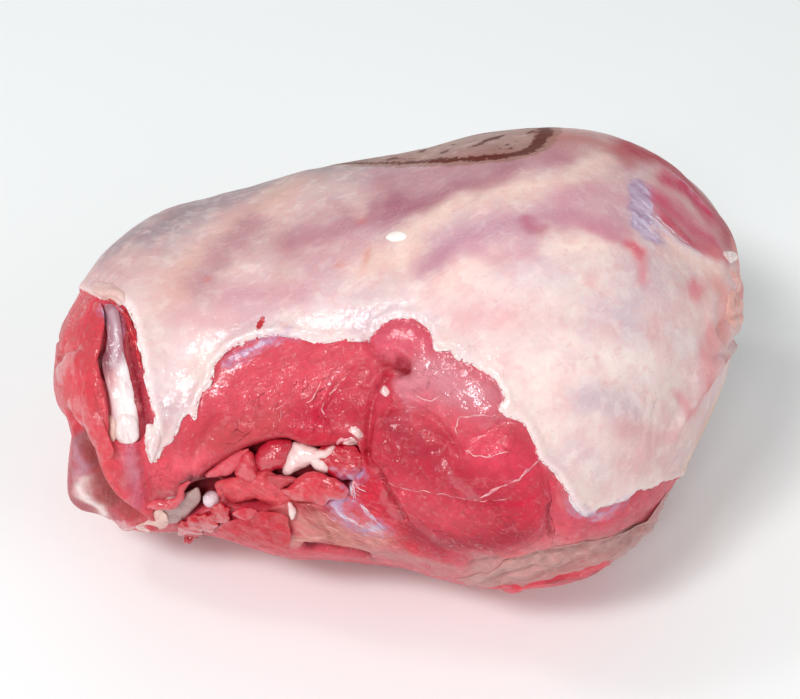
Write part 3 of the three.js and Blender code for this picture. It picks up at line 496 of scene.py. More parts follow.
# ---- bundles of fine strands: first path, last path, how many, half width ----
SILVER_BUNDLES = [
    ([(-21, -36.5), (-17, -38.5), (-13, -38)], [(-18, -41), (-15.5, -41.5), (-13.5, -43)], 5, 0.13),
    ([(-17, -39), (-16, -42), (-15, -46)], [(-15, -39), (-14.2, -42), (-13.5, -46)], 4, 0.16),
    ([(-15.5, -40), (-12, -41), (-9.5, -41.5)], [(-15, -43), (-12.5, -45), (-10.5, -47)], 4, 0.1),
    ([(-22, -48), (-19.5, -51), (-15, -54.5), (-9, -57.5)], [(-20, -47.5), (-18, -50.5), (-13, -54), (-6, -58)], 4,
     0.1),
    ([(-14, -46.5), (-10.5, -50.5), (-6.5, -55.5)], [(-12.5, -46.5), (-8.8, -50.8), (-5, -56)], 5, 0.11),
    ([(-12, -54.5), (-9, -56), (-6, -59)], [(-9.5, -52), (-7, -55), (-4.5, -58)], 8, 0.13),
    ([(73, 45), (79, 38.5), (86, 32.5), (94, 28.5)], [(75, 50), (81, 42.5), (88, 36), (97, 30.5)], 6, 0.16),
    ([(70.3, 43.6), (75.4, 38), (80.6, 32.5)], [(73, 47.8), (78.5, 42.8), (84.8, 37.3)], 6, 0.12),
    ([(86, 60.5), (94, 56.5), (100, 53)], [(87, 59.8), (94.5, 55.9), (101, 51.6)], 2, 0.09),
]
FIBRE_BUNDLES = [
    ([(-34, -52), (-28, -57), (-20, -62)], [(-23, -49), (-15, -55), (-4, -62)], 22, 0.16),
    ([(-33, -47), (-27, -51), (-20, -56)], [(-24, -48), (-19, -52), (-12, -57)], 8, 0.14),
    ([(-34, -60.5), (-25, -61.8), (-12, -65.3)], [(-31, -57.5), (-20, -59.5), (-6, -63.5)], 13, 0.2),
]
# ---- fine splits in the meat, drawn as dark red cords whose colour is painted shade in the splits: path, half width ----
DARK_LINES = [
    ([(-40, -12), (-43, -15), (-42, -18)], 0.12), ([(-43, -15), (-46, -16)], 0.1), ([(-36, -15), (-38, -19)], 0.1),
    ([(-30, -8), (-33, -11), (-33, -13)], 0.1), ([(-49, -17), (-47, -20), (-48, -22)], 0.1),
    ([(-25, -12), (-23, -17), (-25, -21)], 0.12), ([(-52, -24), (-48, -26), (-44, -25)], 0.12),
    ([(43.5, -38), (44.5, -44), (44.5, -49)], 0.16), ([(45, -50), (46.5, -56)], 0.22),
    ([(18, -52), (22, -54), (24, -57)], 0.12), ([(5, -50), (9, -53), (14, -54)], 0.12),
    ([(30, -48), (34, -50), (35, -53)], 0.1),
    ([(-28.4, -7.7), (-28.1, -10), (-30.2, -13.5)], 0.18), ([(-21.8, -9.4), (-24.7, -12.9), (-27.4, -17)], 0.18),
    ([(-40.7, -7.9), (-39.3, -10), (-41.4, -11.5)], 0.15), ([(-51.2, -26), (-48.4, -24), (-46.3, -25.4)], 0.2),
    ([(-48.4, -24), (-49, -21.3)], 0.16), ([(-53.3, -28.9), (-50.4, -28.1), (-47, -26.8)], 0.2),
    ([(-18.6, -4), (-22, -8), (-24, -9.5)], 0.14), ([(-36, -21), (-33.5, -19), (-31, -19.5)], 0.14),
]


def hue(code):
    """Linear RGB of a colour written as #rrggbb: each channel c becomes ((c + 0.055) / 1.055) ** 2.4."""
    parts = np.array([int(code[i:i + 2], 16) for i in (1, 3, 5)]) / 255
    return np.where(parts > 0.04045, ((parts + 0.055) / 1.055) ** 2.4, parts / 12.92)


def smooth(u):
    """Soft step: 3 u^2 - 2 u^3 of u held between 0 and 1."""
    u = np.clip(u, 0, 1)
    return u * u * (3 - 2 * u)


def along(values, x):
    """Cubic through one value per station, its slopes taken from the neighbouring stations."""
    values = np.asarray(values, float)
    slopes = np.empty_like(values)
    slopes[1:-1] = (values[2:] - values[:-2]) / (STATION[2:] - STATION[:-2])
    slopes[0] = (values[1] - values[0]) / (STATION[1] - STATION[0])
    slopes[-1] = (values[-1] - values[-2]) / (STATION[-1] - STATION[-2])
    x = np.clip(x, STATION[0], STATION[-1])
    i = np.clip(np.searchsorted(STATION, x) - 1, 0, len(STATION) - 2)
    h = STATION[i + 1] - STATION[i]
    f = (x - STATION[i]) / h
    keep = (1 + 2 * f) * (1 - f) ** 2
    return (keep * values[i] + (1 - keep) * values[i + 1]
            + h * f * (1 - f) * ((1 - f) * slopes[i] - f * slopes[i + 1]))


def settle(z):
    """Meat that would be under the board spreads flat on it: 0 below -SETTLE, then a parabola up to SETTLE."""
    return np.where(z <= -SETTLE, 0, np.where(z < SETTLE, (z + SETTLE) ** 2 / (4 * SETTLE), z))


def body_point(nx, ny, nz):
    """Point of the meat in a direction of the unit sphere: the section's middle plus its half sizes times
    the direction, settled on the board, with the shank end sloping in below."""
    x = bpy.context.scene.lamb_leg_sizes.half_length * nx
    y = along(SECTION_Y, x) + along(HALF_DEPTH, x) * ny
    z = settle(along(SECTION_Z, x) + along(HALF_HEIGHT, x) * nz)
    lean = LEAN * np.clip((-x - LEAN_FROM) / LEAN_OVER, 0, 1) ** 2 * np.clip((LEAN_TOP - z) / LEAN_TOP, 0, 1)
    return np.stack([x + lean, y, z], -1)


def to_sheet(p):
    """Sheet coordinates of a point: s is x, t is its height along the leaning sheet."""
    return p[..., 0], (p[..., 1] - SHEET_Y) * TILT_SIN + (p[..., 2] - SHEET_Z) * TILT_COS


def swell(s, t):
    """Sum of round bumps, each height * exp(-(distance / radius)^2)."""
    return sum(h * np.exp(-((s - cs) ** 2 + (t - ct) ** 2) / r ** 2) for cs, ct, r, h in SWELLS)


def behind(s, t):
    """Point of the smooth leg behind (s, t) on the sheet. The section is an ellipse, so the place on it is
    where A cos(f) + B sin(f) equals the wanted level; past the outline it goes on up or down the sheet."""
    s, t = np.broadcast_arrays(np.asarray(s, float), np.asarray(t, float))
    half_length = bpy.context.scene.lamb_leg_sizes.half_length
    c = np.sqrt(np.clip(1 - (s / half_length) ** 2, 1e-4, 1))
    a, b = along(HALF_DEPTH, s) * c, along(HALF_HEIGHT, s) * c
    yc, zc = along(SECTION_Y, s), along(SECTION_Z, s)
    reach = np.hypot(a * TILT_SIN, b * TILT_COS)
    up = np.arctan2(b * TILT_COS, a * TILT_SIN)
    level = t - (yc - SHEET_Y) * TILT_SIN - (zc - SHEET_Z) * TILT_COS
    turn = np.arccos(np.clip(level / reach, -1, 1))
    spots = [np.stack([s, yc + a * np.cos(f), settle(zc + b * np.sin(f))], -1) for f in (up + turn, up - turn)]
    nearer = (spots[0] @ OUT_OF_SHEET > spots[1] @ OUT_OF_SHEET)[..., None]
    past = level - np.clip(level, -reach, reach)
    return np.where(nearer, *spots) + past[..., None] * UP_THE_SHEET


def lay(s, t, height=0.0):
    """Point behind (s, t), moved out of the sheet by height and by the broad bumps there."""
    rise = np.asarray(height + swell(s, t))
    return behind(s, t) + rise[..., None] * OUT_OF_SHEET


def curve(points, closed=False, per=5):
    """Smooth line through given points: a Catmull-Rom spline, each stretch a cubic of its four points."""
    p = np.asarray(points, float)
    if closed:
        q = np.concatenate([p[-1:], p, p[:2]])
    else:
        q = np.concatenate([2 * p[:1] - p[1:2], p, 2 * p[-1:] - p[-2:-1]])
    f = (np.arange(per) / per)[None, :, None]
    a, b, c, d = (q[i:len(q) - 3 + i, None] for i in range(4))
    line = 0.5 * (2 * b + (c - a) * f + (2 * a - 5 * b + 4 * c - d) * f ** 2 + (3 * b - 3 * c + d - a) * f ** 3)
    line = line.reshape(-1, p.shape[1])
    return line if closed else np.concatenate([line, p[-1:]])


def even(line, count, closed=False):
    """The line again with its points at even steps of its length."""
    if closed:
        line = np.concatenate([line, line[:1]])
    run = np.concatenate([[0], np.cumsum(np.linalg.norm(np.diff(line, axis=0), axis=1))])
    at = np.linspace(0, run[-1], count, endpoint=not closed)
    return np.stack([np.interp(at, run, line[:, k]) for k in range(line.shape[1])], -1)


def distance(line, s, t, far=30.0, closed=False):
    """Distance of sheet points from a line of straight pieces, the least over its pieces, up to far."""
    found = np.full(s.shape, far)
    low, high = line.min(0) - far, line.max(0) + far
    near = (s > low[0]) & (s < high[0]) & (t > low[1]) & (t < high[1])
    ps, pt = s[near], t[near]
    best = np.full(ps.shape, far ** 2)
    ends = np.roll(line, -1, 0) if closed else line[1:]
    for (s0, t0), (s1, t1) in zip(line, ends):
        ds, dt = s1 - s0, t1 - t0
        f = np.clip(((ps - s0) * ds + (pt - t0) * dt) / max(ds * ds + dt * dt, 1e-9), 0, 1)
        best = np.minimum(best, (ps - s0 - f * ds) ** 2 + (pt - t0 - f * dt) ** 2)
    found[near] = np.sqrt(best)
    return found


def inside(outline, s, t, far=30.0, per=4):
    """Distance from a smooth closed outline, positive inside it: the sign is the number of crossings."""
    line = curve(outline, closed=True, per=per)
    odd = np.zeros(s.shape, bool)
    for (s0, t0), (s1, t1) in zip(line, np.roll(line, -1, 0)):
        if t0 != t1:
            odd ^= ((t0 > t) != (t1 > t)) & (s < (s1 - s0) * (t - t0) / (t1 - t0) + s0)
    return np.where(odd, 1, -1) * distance(line, s, t, far, closed=True)


def noise(p, size, seed=0, octaves=2):
    """Gradient noise from about -1 to 1: slopes drawn for the corners of a lattice of cubes, blended
    across each cube; each further octave has half the size and half the strength."""
    total, strength = np.zeros(p.shape[:-1]), 1.0
    for octave in range(octaves):
        q = p / (size / 2 ** octave) + 17.3 * (octave + 1)
        whole = np.floor(q).astype(np.int64)
        part = q - whole
        blend = part * part * part * (part * (part * 6 - 15) + 10)
        value = 0
        for corner in range(8):
            step = np.array([corner & 1, corner >> 1 & 1, corner >> 2 & 1])
            at = whole + step
            mixed = (at[..., 0] * 73856093 ^ at[..., 1] * 19349663 ^ at[..., 2] * 83492791
                     ^ (seed + octave) * 2654435761) & 0xFFFFFFFF
            mixed = (mixed ^ mixed >> 13) * 1274126177 & 0xFFFFFFFF
            mixed = mixed ^ mixed >> 16
            slope = np.stack([(mixed >> k & 1023) / 511.5 - 1 for k in (0, 10, 20)], -1)
            weight = np.prod(np.where(step, blend, 1 - blend), -1)
            value = value + weight * np.sum(slope * (part - step), -1)
        total += strength * value * 1.4
        strength *= 0.5
    return total


def deep(colour):
    """Colour deepened by how red it is, so that wet gloss doesn't wash it out: colour times DEEP_RED ** share,
    the share being 1.6 times its saturation over 0.2, from 0 to 1."""
    share = np.clip(1.6 * ((colour.max() - colour.min()) / colour.max() - 0.2), 0, 1)
    return colour * np.array(DEEP_RED) ** share


def brush(colour, strokes, s, t, weight=1.0):
    """Lays each stroke over the colour: its share is strength * exp(-(distance / width)^2)."""
    for path, width, code, strength in strokes:
        d = distance(curve(path), s, t, far=2.5 * width)
        share = (strength * np.exp(-(d / width) ** 2) * weight * (d < 2.5 * width))[..., None]
        colour = colour * (1 - share) + deep(hue(code)) * share
    return colour


def cover(strokes, s, t):
    """How far the strokes cover each place: 1 minus the product of what each leaves free."""
    free = np.ones(s.shape)
    for path, width, strength in strokes:
        d = distance(curve(path), s, t, far=2.5 * width)
        free = free * (1 - strength * np.exp(-(d / width) ** 2) * (d < 2.5 * width))
    return 1 - free


# ---------------------------------------------------------------- settings

class LambLegSizes(bpy.types.PropertyGroup):
    """Sizes of the leg."""
    half_length: bpy.props.FloatProperty(
        name="Half length", description="Half of the leg's length, in millimetres", default=115.5, min=60, max=200)
    fell_thickness: bpy.props.FloatProperty(
        name="Fell thickness", description="How far the fell stands over the bare meat, in millimetres",
        default=1.1, min=0, max=4)
    columns: bpy.props.IntProperty(
        name="Columns", description="Grid lines round the leg", default=520, min=40, max=600)
    rows: bpy.props.IntProperty(
        name="Rows", description="Grid lines from the underside to the top", default=190, min=20, max=400)


class LambLegColours(bpy.types.PropertyGroup):
    """Colours of the leg and its floor."""
    flesh: bpy.props.FloatVectorProperty(
        name="Flesh", description="Freshly cut red meat", subtype="COLOR", size=3, min=0, max=1,
        default=tuple(hue("#cb5060")))
    fell: bpy.props.FloatVectorProperty(
        name="Fell", description="Thin pale skin of the leg", subtype="COLOR", size=3, min=0, max=1,
        default=tuple(hue("#d8b9bb")))
    floor: bpy.props.FloatVectorProperty(
        name="Floor", description="Pale surface under the leg", subtype="COLOR", size=3, min=0, max=1,
        default=(0.91, 0.94, 0.94))


class LambLegLight(bpy.types.PropertyGroup):
    """Camera and lights."""
    lens: bpy.props.FloatProperty(
        name="Lens", description="Focal length of the camera, in millimetres", default=85, min=20, max=200)
    key_power: bpy.props.FloatProperty(
        name="Key light", description="Power of the main light, in watts", default=26, min=0, max=200)
    sky: bpy.props.FloatProperty(
        name="Sky", description="Strength of the even light from all round", default=0.3, min=0, max=5)


# ---------------------------------------------------------------- meshes

def shell(rows, start, end, data):
    """Closed surface from rows of points that go round, with one point closing either end."""
    count, around = rows.shape[:2]
    points = np.concatenate([start[None], rows.reshape(-1, 3), end[None]])
    ring = np.arange(count * around).reshape(count, around) + 1
    after = np.roll(ring, -1, 1)
    quads = np.stack([ring[:-1], after[:-1], after[1:], ring[1:]], -1).reshape(-1, 4)
    fans = np.concatenate([
        np.stack([np.zeros(around, int), after[0], ring[0]], -1),
        np.stack([np.full(around, len(points) - 1), ring[-1], after[-1]], -1)])
    centre = points.mean(0)
    volume = np.einsum("ij,ij->i", points[quads[:, 0]] - centre,
                       np.cross(points[quads[:, 1]] - centre, points[quads[:, 2]] - centre)).sum()
    if volume < 0:
        quads, fans = quads[:, ::-1], fans[:, ::-1]
    return points, quads, fans, data


def build(name, shells, slot, finish, *nodes):
    """One piece from closed surfaces, in metres, with its attributes and finish; the slot is not used."""
    starts = np.cumsum([0] + [len(part[0]) for part in shells])
    points = (np.concatenate([part[0] for part in shells]) - (0, MIDDLE_Y, 0)) * MM
    quads = np.concatenate([part[1] + at for part, at in zip(shells, starts)])
    fans = np.concatenate([part[2] + at for part, at in zip(shells, starts)])
    mesh = bpy.data.meshes.new(name)
    mesh.vertices.add(len(points))
    mesh.vertices.foreach_set("co", points.ravel())
    loops = np.concatenate([quads.ravel(), fans.ravel()])
    mesh.loops.add(len(loops))
    mesh.loops.foreach_set("vertex_index", loops)
    sizes = np.concatenate([np.full(len(quads), 4), np.full(len(fans), 3)])
    mesh.polygons.add(len(sizes))
    mesh.polygons.foreach_set("loop_start", np.concatenate([[0], np.cumsum(sizes)[:-1]]))
    mesh.polygons.foreach_set("use_smooth", np.ones(len(sizes), bool))
    mesh.update(calc_edges=True)
    mesh.validate()
    for key in shells[0][3]:
        values = np.concatenate([part[3][key] for part in shells])
        if values.ndim == 1:
            mesh.attributes.new(key, "FLOAT", "POINT").data.foreach_set("value", values)
        else:
            colour = np.concatenate([values, np.ones((len(values), 1))], 1)
            mesh.attributes.new(key, "FLOAT_COLOR", "POINT").data.foreach_set("color", colour.ravel())
    piece = bpy.data.objects.new(name, mesh)
    bpy.context.scene.collection.objects.link(piece)
    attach(piece, "root")
    if nodes:
        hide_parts(*nodes)
    piece.data.materials.append(finish)
    return piece


def stamp_ink(p):
    """Closeness to the ink of the inspection stamp, in mm: half the line's width less the distance from an oval
    ring, laid out along x and round the girth, and a few blotches inside it."""
    turn = np.radians((np.degrees(np.arctan2(p[..., 2] - SHEET_Z, SHEET_Y - p[..., 1])) + 90) % 360 - 90)
    x, round_it = p[..., 0], turn * STAMP_GIRTH
    outline = np.array(STAMP_RING) * (1, math.radians(STAMP_GIRTH))
    gap = inside(outline, x, round_it, far=12)
    line = np.interp(x, *zip(*STAMP_LINE)) * (1 + 0.35 * noise(p, 5, seed=43))
    blots = np.where(gap > 0, np.maximum(np.minimum(3.4 * noise(p, 6, seed=41) - 1.3, gap - 2), -2), -5)
    return np.clip(np.maximum(line - np.abs(gap), blots), -5, 5)


def dress(p, s, t, bare, front=1.0, flesh=None, skin=None, wet=0.0):
    """Attributes of the common finish for points p: two tints, how bare the meat is, how wet, the
    direction of its fibres, and the closeness to silver tissue, ink and blood, in mm."""
    colours = bpy.context.scene.lamb_leg_colours
    ws = s + 2.6 * noise(p, 13, seed=1) + 0.7 * noise(p, 3.5, seed=51)
    wt = t + 2.6 * noise(p, 13, seed=2) + 0.7 * noise(p, 3.5, seed=52)
    cloud = smooth(0.5 + 0.9 * noise(p, 26, seed=3))[..., None]
    fell = np.array(colours.fell) * (1 - 0.6 * cloud) + hue("#e3cdc4") * 0.6 * cloud
    mauve = smooth(0.2 + 1.1 * noise(p, 40, seed=4))[..., None]
    fell = fell * (1 - 0.35 * mauve) + hue("#bf9aa5") * 0.35 * mauve
    meat = deep(np.array(colours.flesh)) * (1 + 0.14 * noise(p, 11, seed=5))[..., None]
    fell = brush(fell, FELL_STROKES, ws, wt, front)
    meat = brush(meat, MEAT_STROKES, ws, wt, front)
    if flesh:
        meat = meat * 0.2 + deep(hue(flesh)) * 0.8
    if skin:
        fell = fell * 0.2 + hue(skin) * 0.8
    angle = np.full(s.shape, -30.0)
    for path, width, degrees in GRAIN_STROKES:
        share = np.exp(-(distance(curve(path), s, t, far=2.5 * width) / width) ** 2)
        angle = angle * (1 - share) + degrees * share
    lean = np.stack([smooth(1 - np.abs(angle - at) / 45) for at in FIBRE_ANGLES], -1) + 1e-4
    lean = lean / lean.sum(-1, keepdims=True)
    silver = np.full(s.shape, -9.0)
    for outline in SILVER:
        silver = np.maximum(silver, inside(outline, ws, wt, far=9))
    for outline in SILVER_GAPS:
        silver = np.minimum(silver, -inside(outline, ws, wt, far=9))
    blood = np.full(s.shape, -9.0)
    for cs, ct, radius in BLOOD:
        blood = np.maximum(blood, radius - np.hypot(s - cs, t - ct))
    return {
        "fell_tint": fell, "meat_tint": meat, "bare": bare, "fibres": lean,
        "wet": np.maximum(cover(WET_STROKES, ws, wt) * front, wet),
        "silver": np.where(front > 0.5, silver, -9), "blood": np.where(front > 0.5, blood, -9), "ink": stamp_ink(p),
    }


# ---------------------------------------------------------------- the leg itself

def body_grid(columns, rows):
    """Directions of a globe with its poles above and below. Its lines crowd on the show side: the
    longitude is u - a cos(u), and the latitude is pi (v - 0.5) + b sin(2 pi v)."""
    v = np.arange(1, rows) / rows
    latitude = np.pi * (v - 0.5) + CROWD_LATITUDE * np.sin(2 * np.pi * v)
    u = 2 * np.pi * np.arange(columns) / columns
    longitude = u - CROWD_LONGITUDE * np.cos(u)
    lat, lon = np.meshgrid(latitude, longitude, indexing="ij")
    return np.cos(lat) * np.cos(lon), np.cos(lat) * np.sin(lon), np.sin(lat)


def grid_normals(p):
    """Outward normals of a grid that goes round: the cross product of its two central differences."""
    across = np.roll(p, -1, 1) - np.roll(p, 1, 1)
    normal = np.cross(across, np.gradient(p, axis=0))
    return normal / np.maximum(np.linalg.norm(normal, axis=-1, keepdims=True), 1e-9)


def bareness(p, s, t, front):
    """Distance into the bare meat, negative under the fell: from its drawn edge on the show side, and
    elsewhere from the cut shank end and from the underside."""
    shown = inside(FELL_EDGE, s, t, per=4)
    hidden = np.maximum(SHANK_CUT - p[..., 0], UNDERSIDE_TOP - p[..., 2]) + 2.5 * noise(p, 14, seed=11)
    return np.where(front > 0.999, shown, shown * front + np.clip(hidden, -30, 30) * (1 - front))


def muscle(outline, s, t, height, soft):
    """Rounded mound on an outline: height * (1 - exp(-depth inside / soft)), and nothing outside."""
    return height * (1 - np.exp(-np.clip(inside(outline, s, t), 0, None) / soft))


def relief(p, s, t, bare):
    """How far the surface stands out from the smooth leg, in mm: mounds of the muscles, hollows, creases
    and ridges exp(-(distance / width)^2) high, the step down from the fell, and fine unevenness."""
    out = swell(s, t)
    thickness = bpy.context.scene.lamb_leg_sizes.fell_thickness
    edge = bare + 0.5 * noise(p, 2.4, seed=21)
    out = out - thickness * smooth(edge / 0.8 + 0.5)
    out = out + 0.45 * np.exp(-((edge + 1.3) / 1.2) ** 2)
    for outline, height, soft in MUSCLES:
        out = out + muscle(outline, s, t, height, soft)
    top, fade = OVERHANG_FADE
    out = out + muscle(OVERHANG, s, t, 2.6, 1.5) * smooth((top - t) / fade)
    for outline, depth, soft in HOLLOWS:
        out = out - depth * smooth(inside(outline, s, t) / soft)
    bend = 0.5 * noise(p, 4, seed=35)
    for path, width, depth in CREASES + [(path, width, -height) for path, width, height in RIDGES]:
        d = distance(curve(path), s + bend, t - bend, far=3 * width)
        out = out - depth * np.exp(-(d / width) ** 2) * (d < 3 * width)
    lumps = 0.45 * noise(p, 9, seed=31) + 0.1 * noise(p, 2.6, seed=32)
    skin = 0.6 * noise(p, 26, seed=33) + 0.14 * noise(p, 6, seed=34)
    under = smooth(bare / 1.0 + 0.5)
    band = np.exp(-(distance(curve(WRINKLED), s, t, far=20) / 5) ** 2)
    folds = 2.0 * noise(np.stack([s * 0.25, t - 0.42 * s, 0 * s], -1), 3.0, seed=36) * band
    return out + lumps * under + skin * (1 - under) + folds


def ground(s, t):
    """Point and outward normal of the finished surface behind (s, t), for pieces that lie on it."""
    step = 0.4
    p = behind(s, t)
    normal = np.cross(behind(s + step, t) - behind(s - step, t), behind(s, t + step) - behind(s, t - step))
    normal /= np.maximum(np.linalg.norm(normal, axis=-1, keepdims=True), 1e-9)
    return p + normal * relief(p, s, t, inside(FELL_EDGE, s, t))[..., None], normal


class LAMB_OT_leg(bpy.types.Operator):
    """The meat with its fell: one closed surface from the shank end to the rump"""
    bl_idname = "lamb.leg"
    bl_label = "Leg meat and fell"

    def execute(self, context):
        sizes = context.scene.lamb_leg_sizes
        p = body_point(*body_grid(sizes.columns, sizes.rows))
        normal = grid_normals(p)
        s, t = to_sheet(p)
        front = smooth(normal @ OUT_OF_SHEET * 4 + 0.6)
        bare = bareness(p, s, t, front)
        out = relief(p, s, t, bare) * front
        rough = 0.5 * noise(p, 7, seed=31) * smooth(bare / 1.0 + 0.5) + 0.8 * noise(p, 26, seed=33)
        out = out + (1 - front) * (rough - sizes.fell_thickness * smooth(bare / 0.7 + 0.5))
        lifted = p + normal * (out * smooth(p[..., 2] / 3))[..., None]
        lifted[..., 2] = np.maximum(lifted[..., 2], 0)
        data = dress(p, s, t, bare, front)
        data = {key: np.concatenate([v[0].mean(0)[None], v.reshape(-1, *v.shape[2:]), v[-1].mean(0)[None]])
                for key, v in data.items()}
        ends = body_point(0.0, 0.0, -1.0), body_point(0.0, 0.0, 1.0)
        build("Leg_meat_and_fell", [shell(lifted, *ends, data)], "meat", meat_finish(), "leg_meat")
        return {"FINISHED"}


# ---------------------------------------------------------------- loose pieces

def cushion(outline, high, deep, edge=-0.5, square=2.0, tip=(0.0, 0.0), centre=None, around=96, rings=22,
            rough=0.3, ragged=0.5, bare=5.0, seed=0, on_top=False, pleats=None, **look):
    """Rounded piece on an outline of the sheet. A point at share r of the way from the middle to the rim
    stands edge + (high - edge) (1 - r^square)^(1/square) out of the meat, and the underside goes down to
    deep in the same way. It tips up by so much for each mm along and for each mm down the sheet."""
    rim = even(curve(outline, closed=True, per=8), around, closed=True)
    middle = np.array(centre if centre else rim.mean(0))
    out = rim - middle
    out /= np.maximum(np.linalg.norm(out, axis=1, keepdims=True), 1e-6)
    rim = rim + out * ragged * noise(np.c_[rim, 0 * rim[:, :1]], 2.6, seed=seed + 7)[:, None]
    r = np.sin(np.linspace(0, np.pi / 2, rings + 1))[1:]
    dome = (1 - r ** square) ** (1 / square)
    share = np.concatenate([r, r[-2::-3]])
    rise = np.concatenate([edge + (high - edge) * dome, (edge - (deep + edge) * dome)[-2::-3]])
    spots = middle + share[:, None, None] * (rim - middle)
    s, t = spots[..., 0], spots[..., 1]
    flat = lay(s, t)
    uneven = rough * noise(flat, 3.2, seed=seed) * (share < 1)[:, None]
    height = rise[:, None] + tip[0] * (s - middle[0]) + tip[1] * (middle[1] - t) + uneven
    if pleats:
        strength, lean, spacing = pleats
        fold = noise(np.stack([0.22 * s, t - lean * s, 0 * s], -1), spacing, seed=seed + 3, octaves=3)
        height = height + strength * fold * (1 - share ** 6)[:, None]
    start, end = lay(*middle, high + rough * noise(lay(*middle), 3.2, seed=seed)), lay(*middle, -deep)
    if on_top:
        base, normal = ground(s, t)
        p = base + normal * height[..., None]
        first, up = ground(*(middle[:, None]))
        start, end = first[0] + up[0] * high, first[0] - up[0] * deep
    else:
        p = lay(s, t, height)
    ps = np.concatenate([middle[:1], s.ravel(), middle[:1]])
    pt = np.concatenate([middle[1:], t.ravel(), middle[1:]])
    every = np.concatenate([start[None], p.reshape(-1, 3), end[None]])
    return shell(p, start, end, dress(every, ps, pt, np.full(len(ps), float(bare)), **look))


def cord(path, half, lift=0.0, flat=0.7, wave=0.0, around=12, bare=5.0, seed=0, rough=0.15, level=None, **look):
    """Tube along a path on the finished surface, or at a level over the smooth leg: a circle of radius half
    across, flattened to flat times that outwards, its middle lifted by so much, drawn in at both ends."""
    line = curve(path, per=10)
    length = np.linalg.norm(np.diff(line, axis=0), axis=1).sum()
    line = even(line, int(length / CORD_STEP) + 6)
    line = line + wave * np.stack([noise(np.c_[line, 0 * line[:, :1]], 3.0, seed=seed + k) for k in (60, 61)], -1)
    f = np.linspace(0, 1, len(line))
    wide = np.interp(f, np.linspace(0, 1, np.size(half)), np.atleast_1d(half)) if np.size(half) > 1 else half
    taper = np.clip(np.minimum(f, 1 - f) * length / CORD_TAPER, 0.02, 1) ** 0.5
    if level is None:
        centre, normal = ground(line[:, 0], line[:, 1])
    else:
        centre, normal = lay(line[:, 0], line[:, 1], level), np.tile(OUT_OF_SHEET, (len(line), 1))
    wobble = 1 + rough * noise(centre, 2.5, seed=seed) * 2
    wide = wide * taper * wobble
    tangent = np.gradient(centre, axis=0)
    tangent /= np.linalg.norm(tangent, axis=1, keepdims=True)
    side = np.cross(tangent, normal)
    turn = 2 * np.pi * np.arange(around) / around
    p = (centre + normal * lift)[:, None] + wide[:, None, None] * (
        side[:, None] * np.cos(turn)[None, :, None] + flat * normal[:, None] * np.sin(turn)[None, :, None])
    start, end = p[0].mean(0), p[-1].mean(0)
    s, t = (np.concatenate([line[:1, k], np.repeat(line[:, k], around), line[-1:, k]]) for k in (0, 1))
    every = np.concatenate([start[None], p.reshape(-1, 3), end[None]])
    return shell(p, start, end, dress(every, s, t, np.full(len(s), float(bare)), **look))


def bundle(first, last, count, half, seed, **look):
    """Cords side by side: their paths cross-fade from the first to the last, each cut off at its own place."""
    draw = np.random.default_rng(seed)
    guides = [even(curve(path), 12) for path in (first, last)]
    made = []
    for k in range(count):
        share = (k + draw.uniform(0.2, 0.8)) / count
        path = guides[0] * (1 - share) + guides[1] * share
        begin, end = draw.integers(0, 4), 12 - draw.integers(0, 4)
        made.append(cord(path[begin:end], half * draw.uniform(0.6, 1.2), lift=-0.03, flat=0.7, wave=0.35, around=6,
                         seed=seed * 40 + k, rough=0.5, **look))
    return made


def ball(at, size, sunk, seed):
    """Uneven ball: a unit sphere times its half sizes, turned to face out of the sheet, with noise on it."""
    lat, lon = np.meshgrid(np.pi * (np.arange(1, 40) / 40 - 0.5), 2 * np.pi * np.arange(72) / 72, indexing="ij")
    unit = np.stack([np.cos(lat) * np.cos(lon), np.cos(lat) * np.sin(lon), np.sin(lat)], -1)
    middle = lay(*at, -sunk)
    axes = np.stack([(1, 0, 0), UP_THE_SHEET, OUT_OF_SHEET])
    grown = unit * (1 + 0.06 * noise(unit * 3 + seed, 2, seed=seed))[..., None]
    p = middle + (grown * np.array(size)) @ axes
    return shell(p, middle - size[2] * OUT_OF_SHEET, middle + size[2] * OUT_OF_SHEET, {})


class LAMB_OT_hem(bpy.types.Operator):
    """The thick wet rim along the edge of the fell, with its tip, its curl and the fat at the rump"""
    bl_idname = "lamb.hem"
    bl_label = "Hem of the fell"

    def execute(self, context):
        rim = dict(skin="#f3e0df", wet=0.9)
        hem = curve(FELL_EDGE, closed=True)
        first = np.argmin(np.hypot(*(hem - (-89, 16.5)).T))
        last = np.argmin(np.hypot(*(hem - (83.5, -41)).T))
        path = hem[first:last:2]
        width = 0.25 + 0.6 * smooth(0.3 + 1.2 * noise(np.c_[path, 0 * path[:, :1]], 9, seed=8))
        lobes = [(FELL_TIP, dict(high=1.6, **rim)), (FELL_CURL, dict(high=1.3, skin="#dfb7ae")),
                 (RUMP_FAT[0], dict(high=1.3, skin="#f8e2da", wet=0.6)),
                 (RUMP_FAT[1], dict(high=1.1, skin="#e8a398", wet=0.4, rough=0.5)),
                 (RUMP_FAT[2], dict(high=1.0, skin="#e4a99c", wet=0.3, rough=0.6, ragged=0.8))]
        build("Fell_hem", [
            cord(path, width, lift=-0.12, flat=0.5, around=10, rough=0.3, bare=-6, **rim),
            *(cushion(outline, deep=3, on_top=True, bare=-6, seed=3 + k, **form)
              for k, (outline, form) in enumerate(lobes)),
        ], "meat", meat_finish())
        return {"FINISHED"}


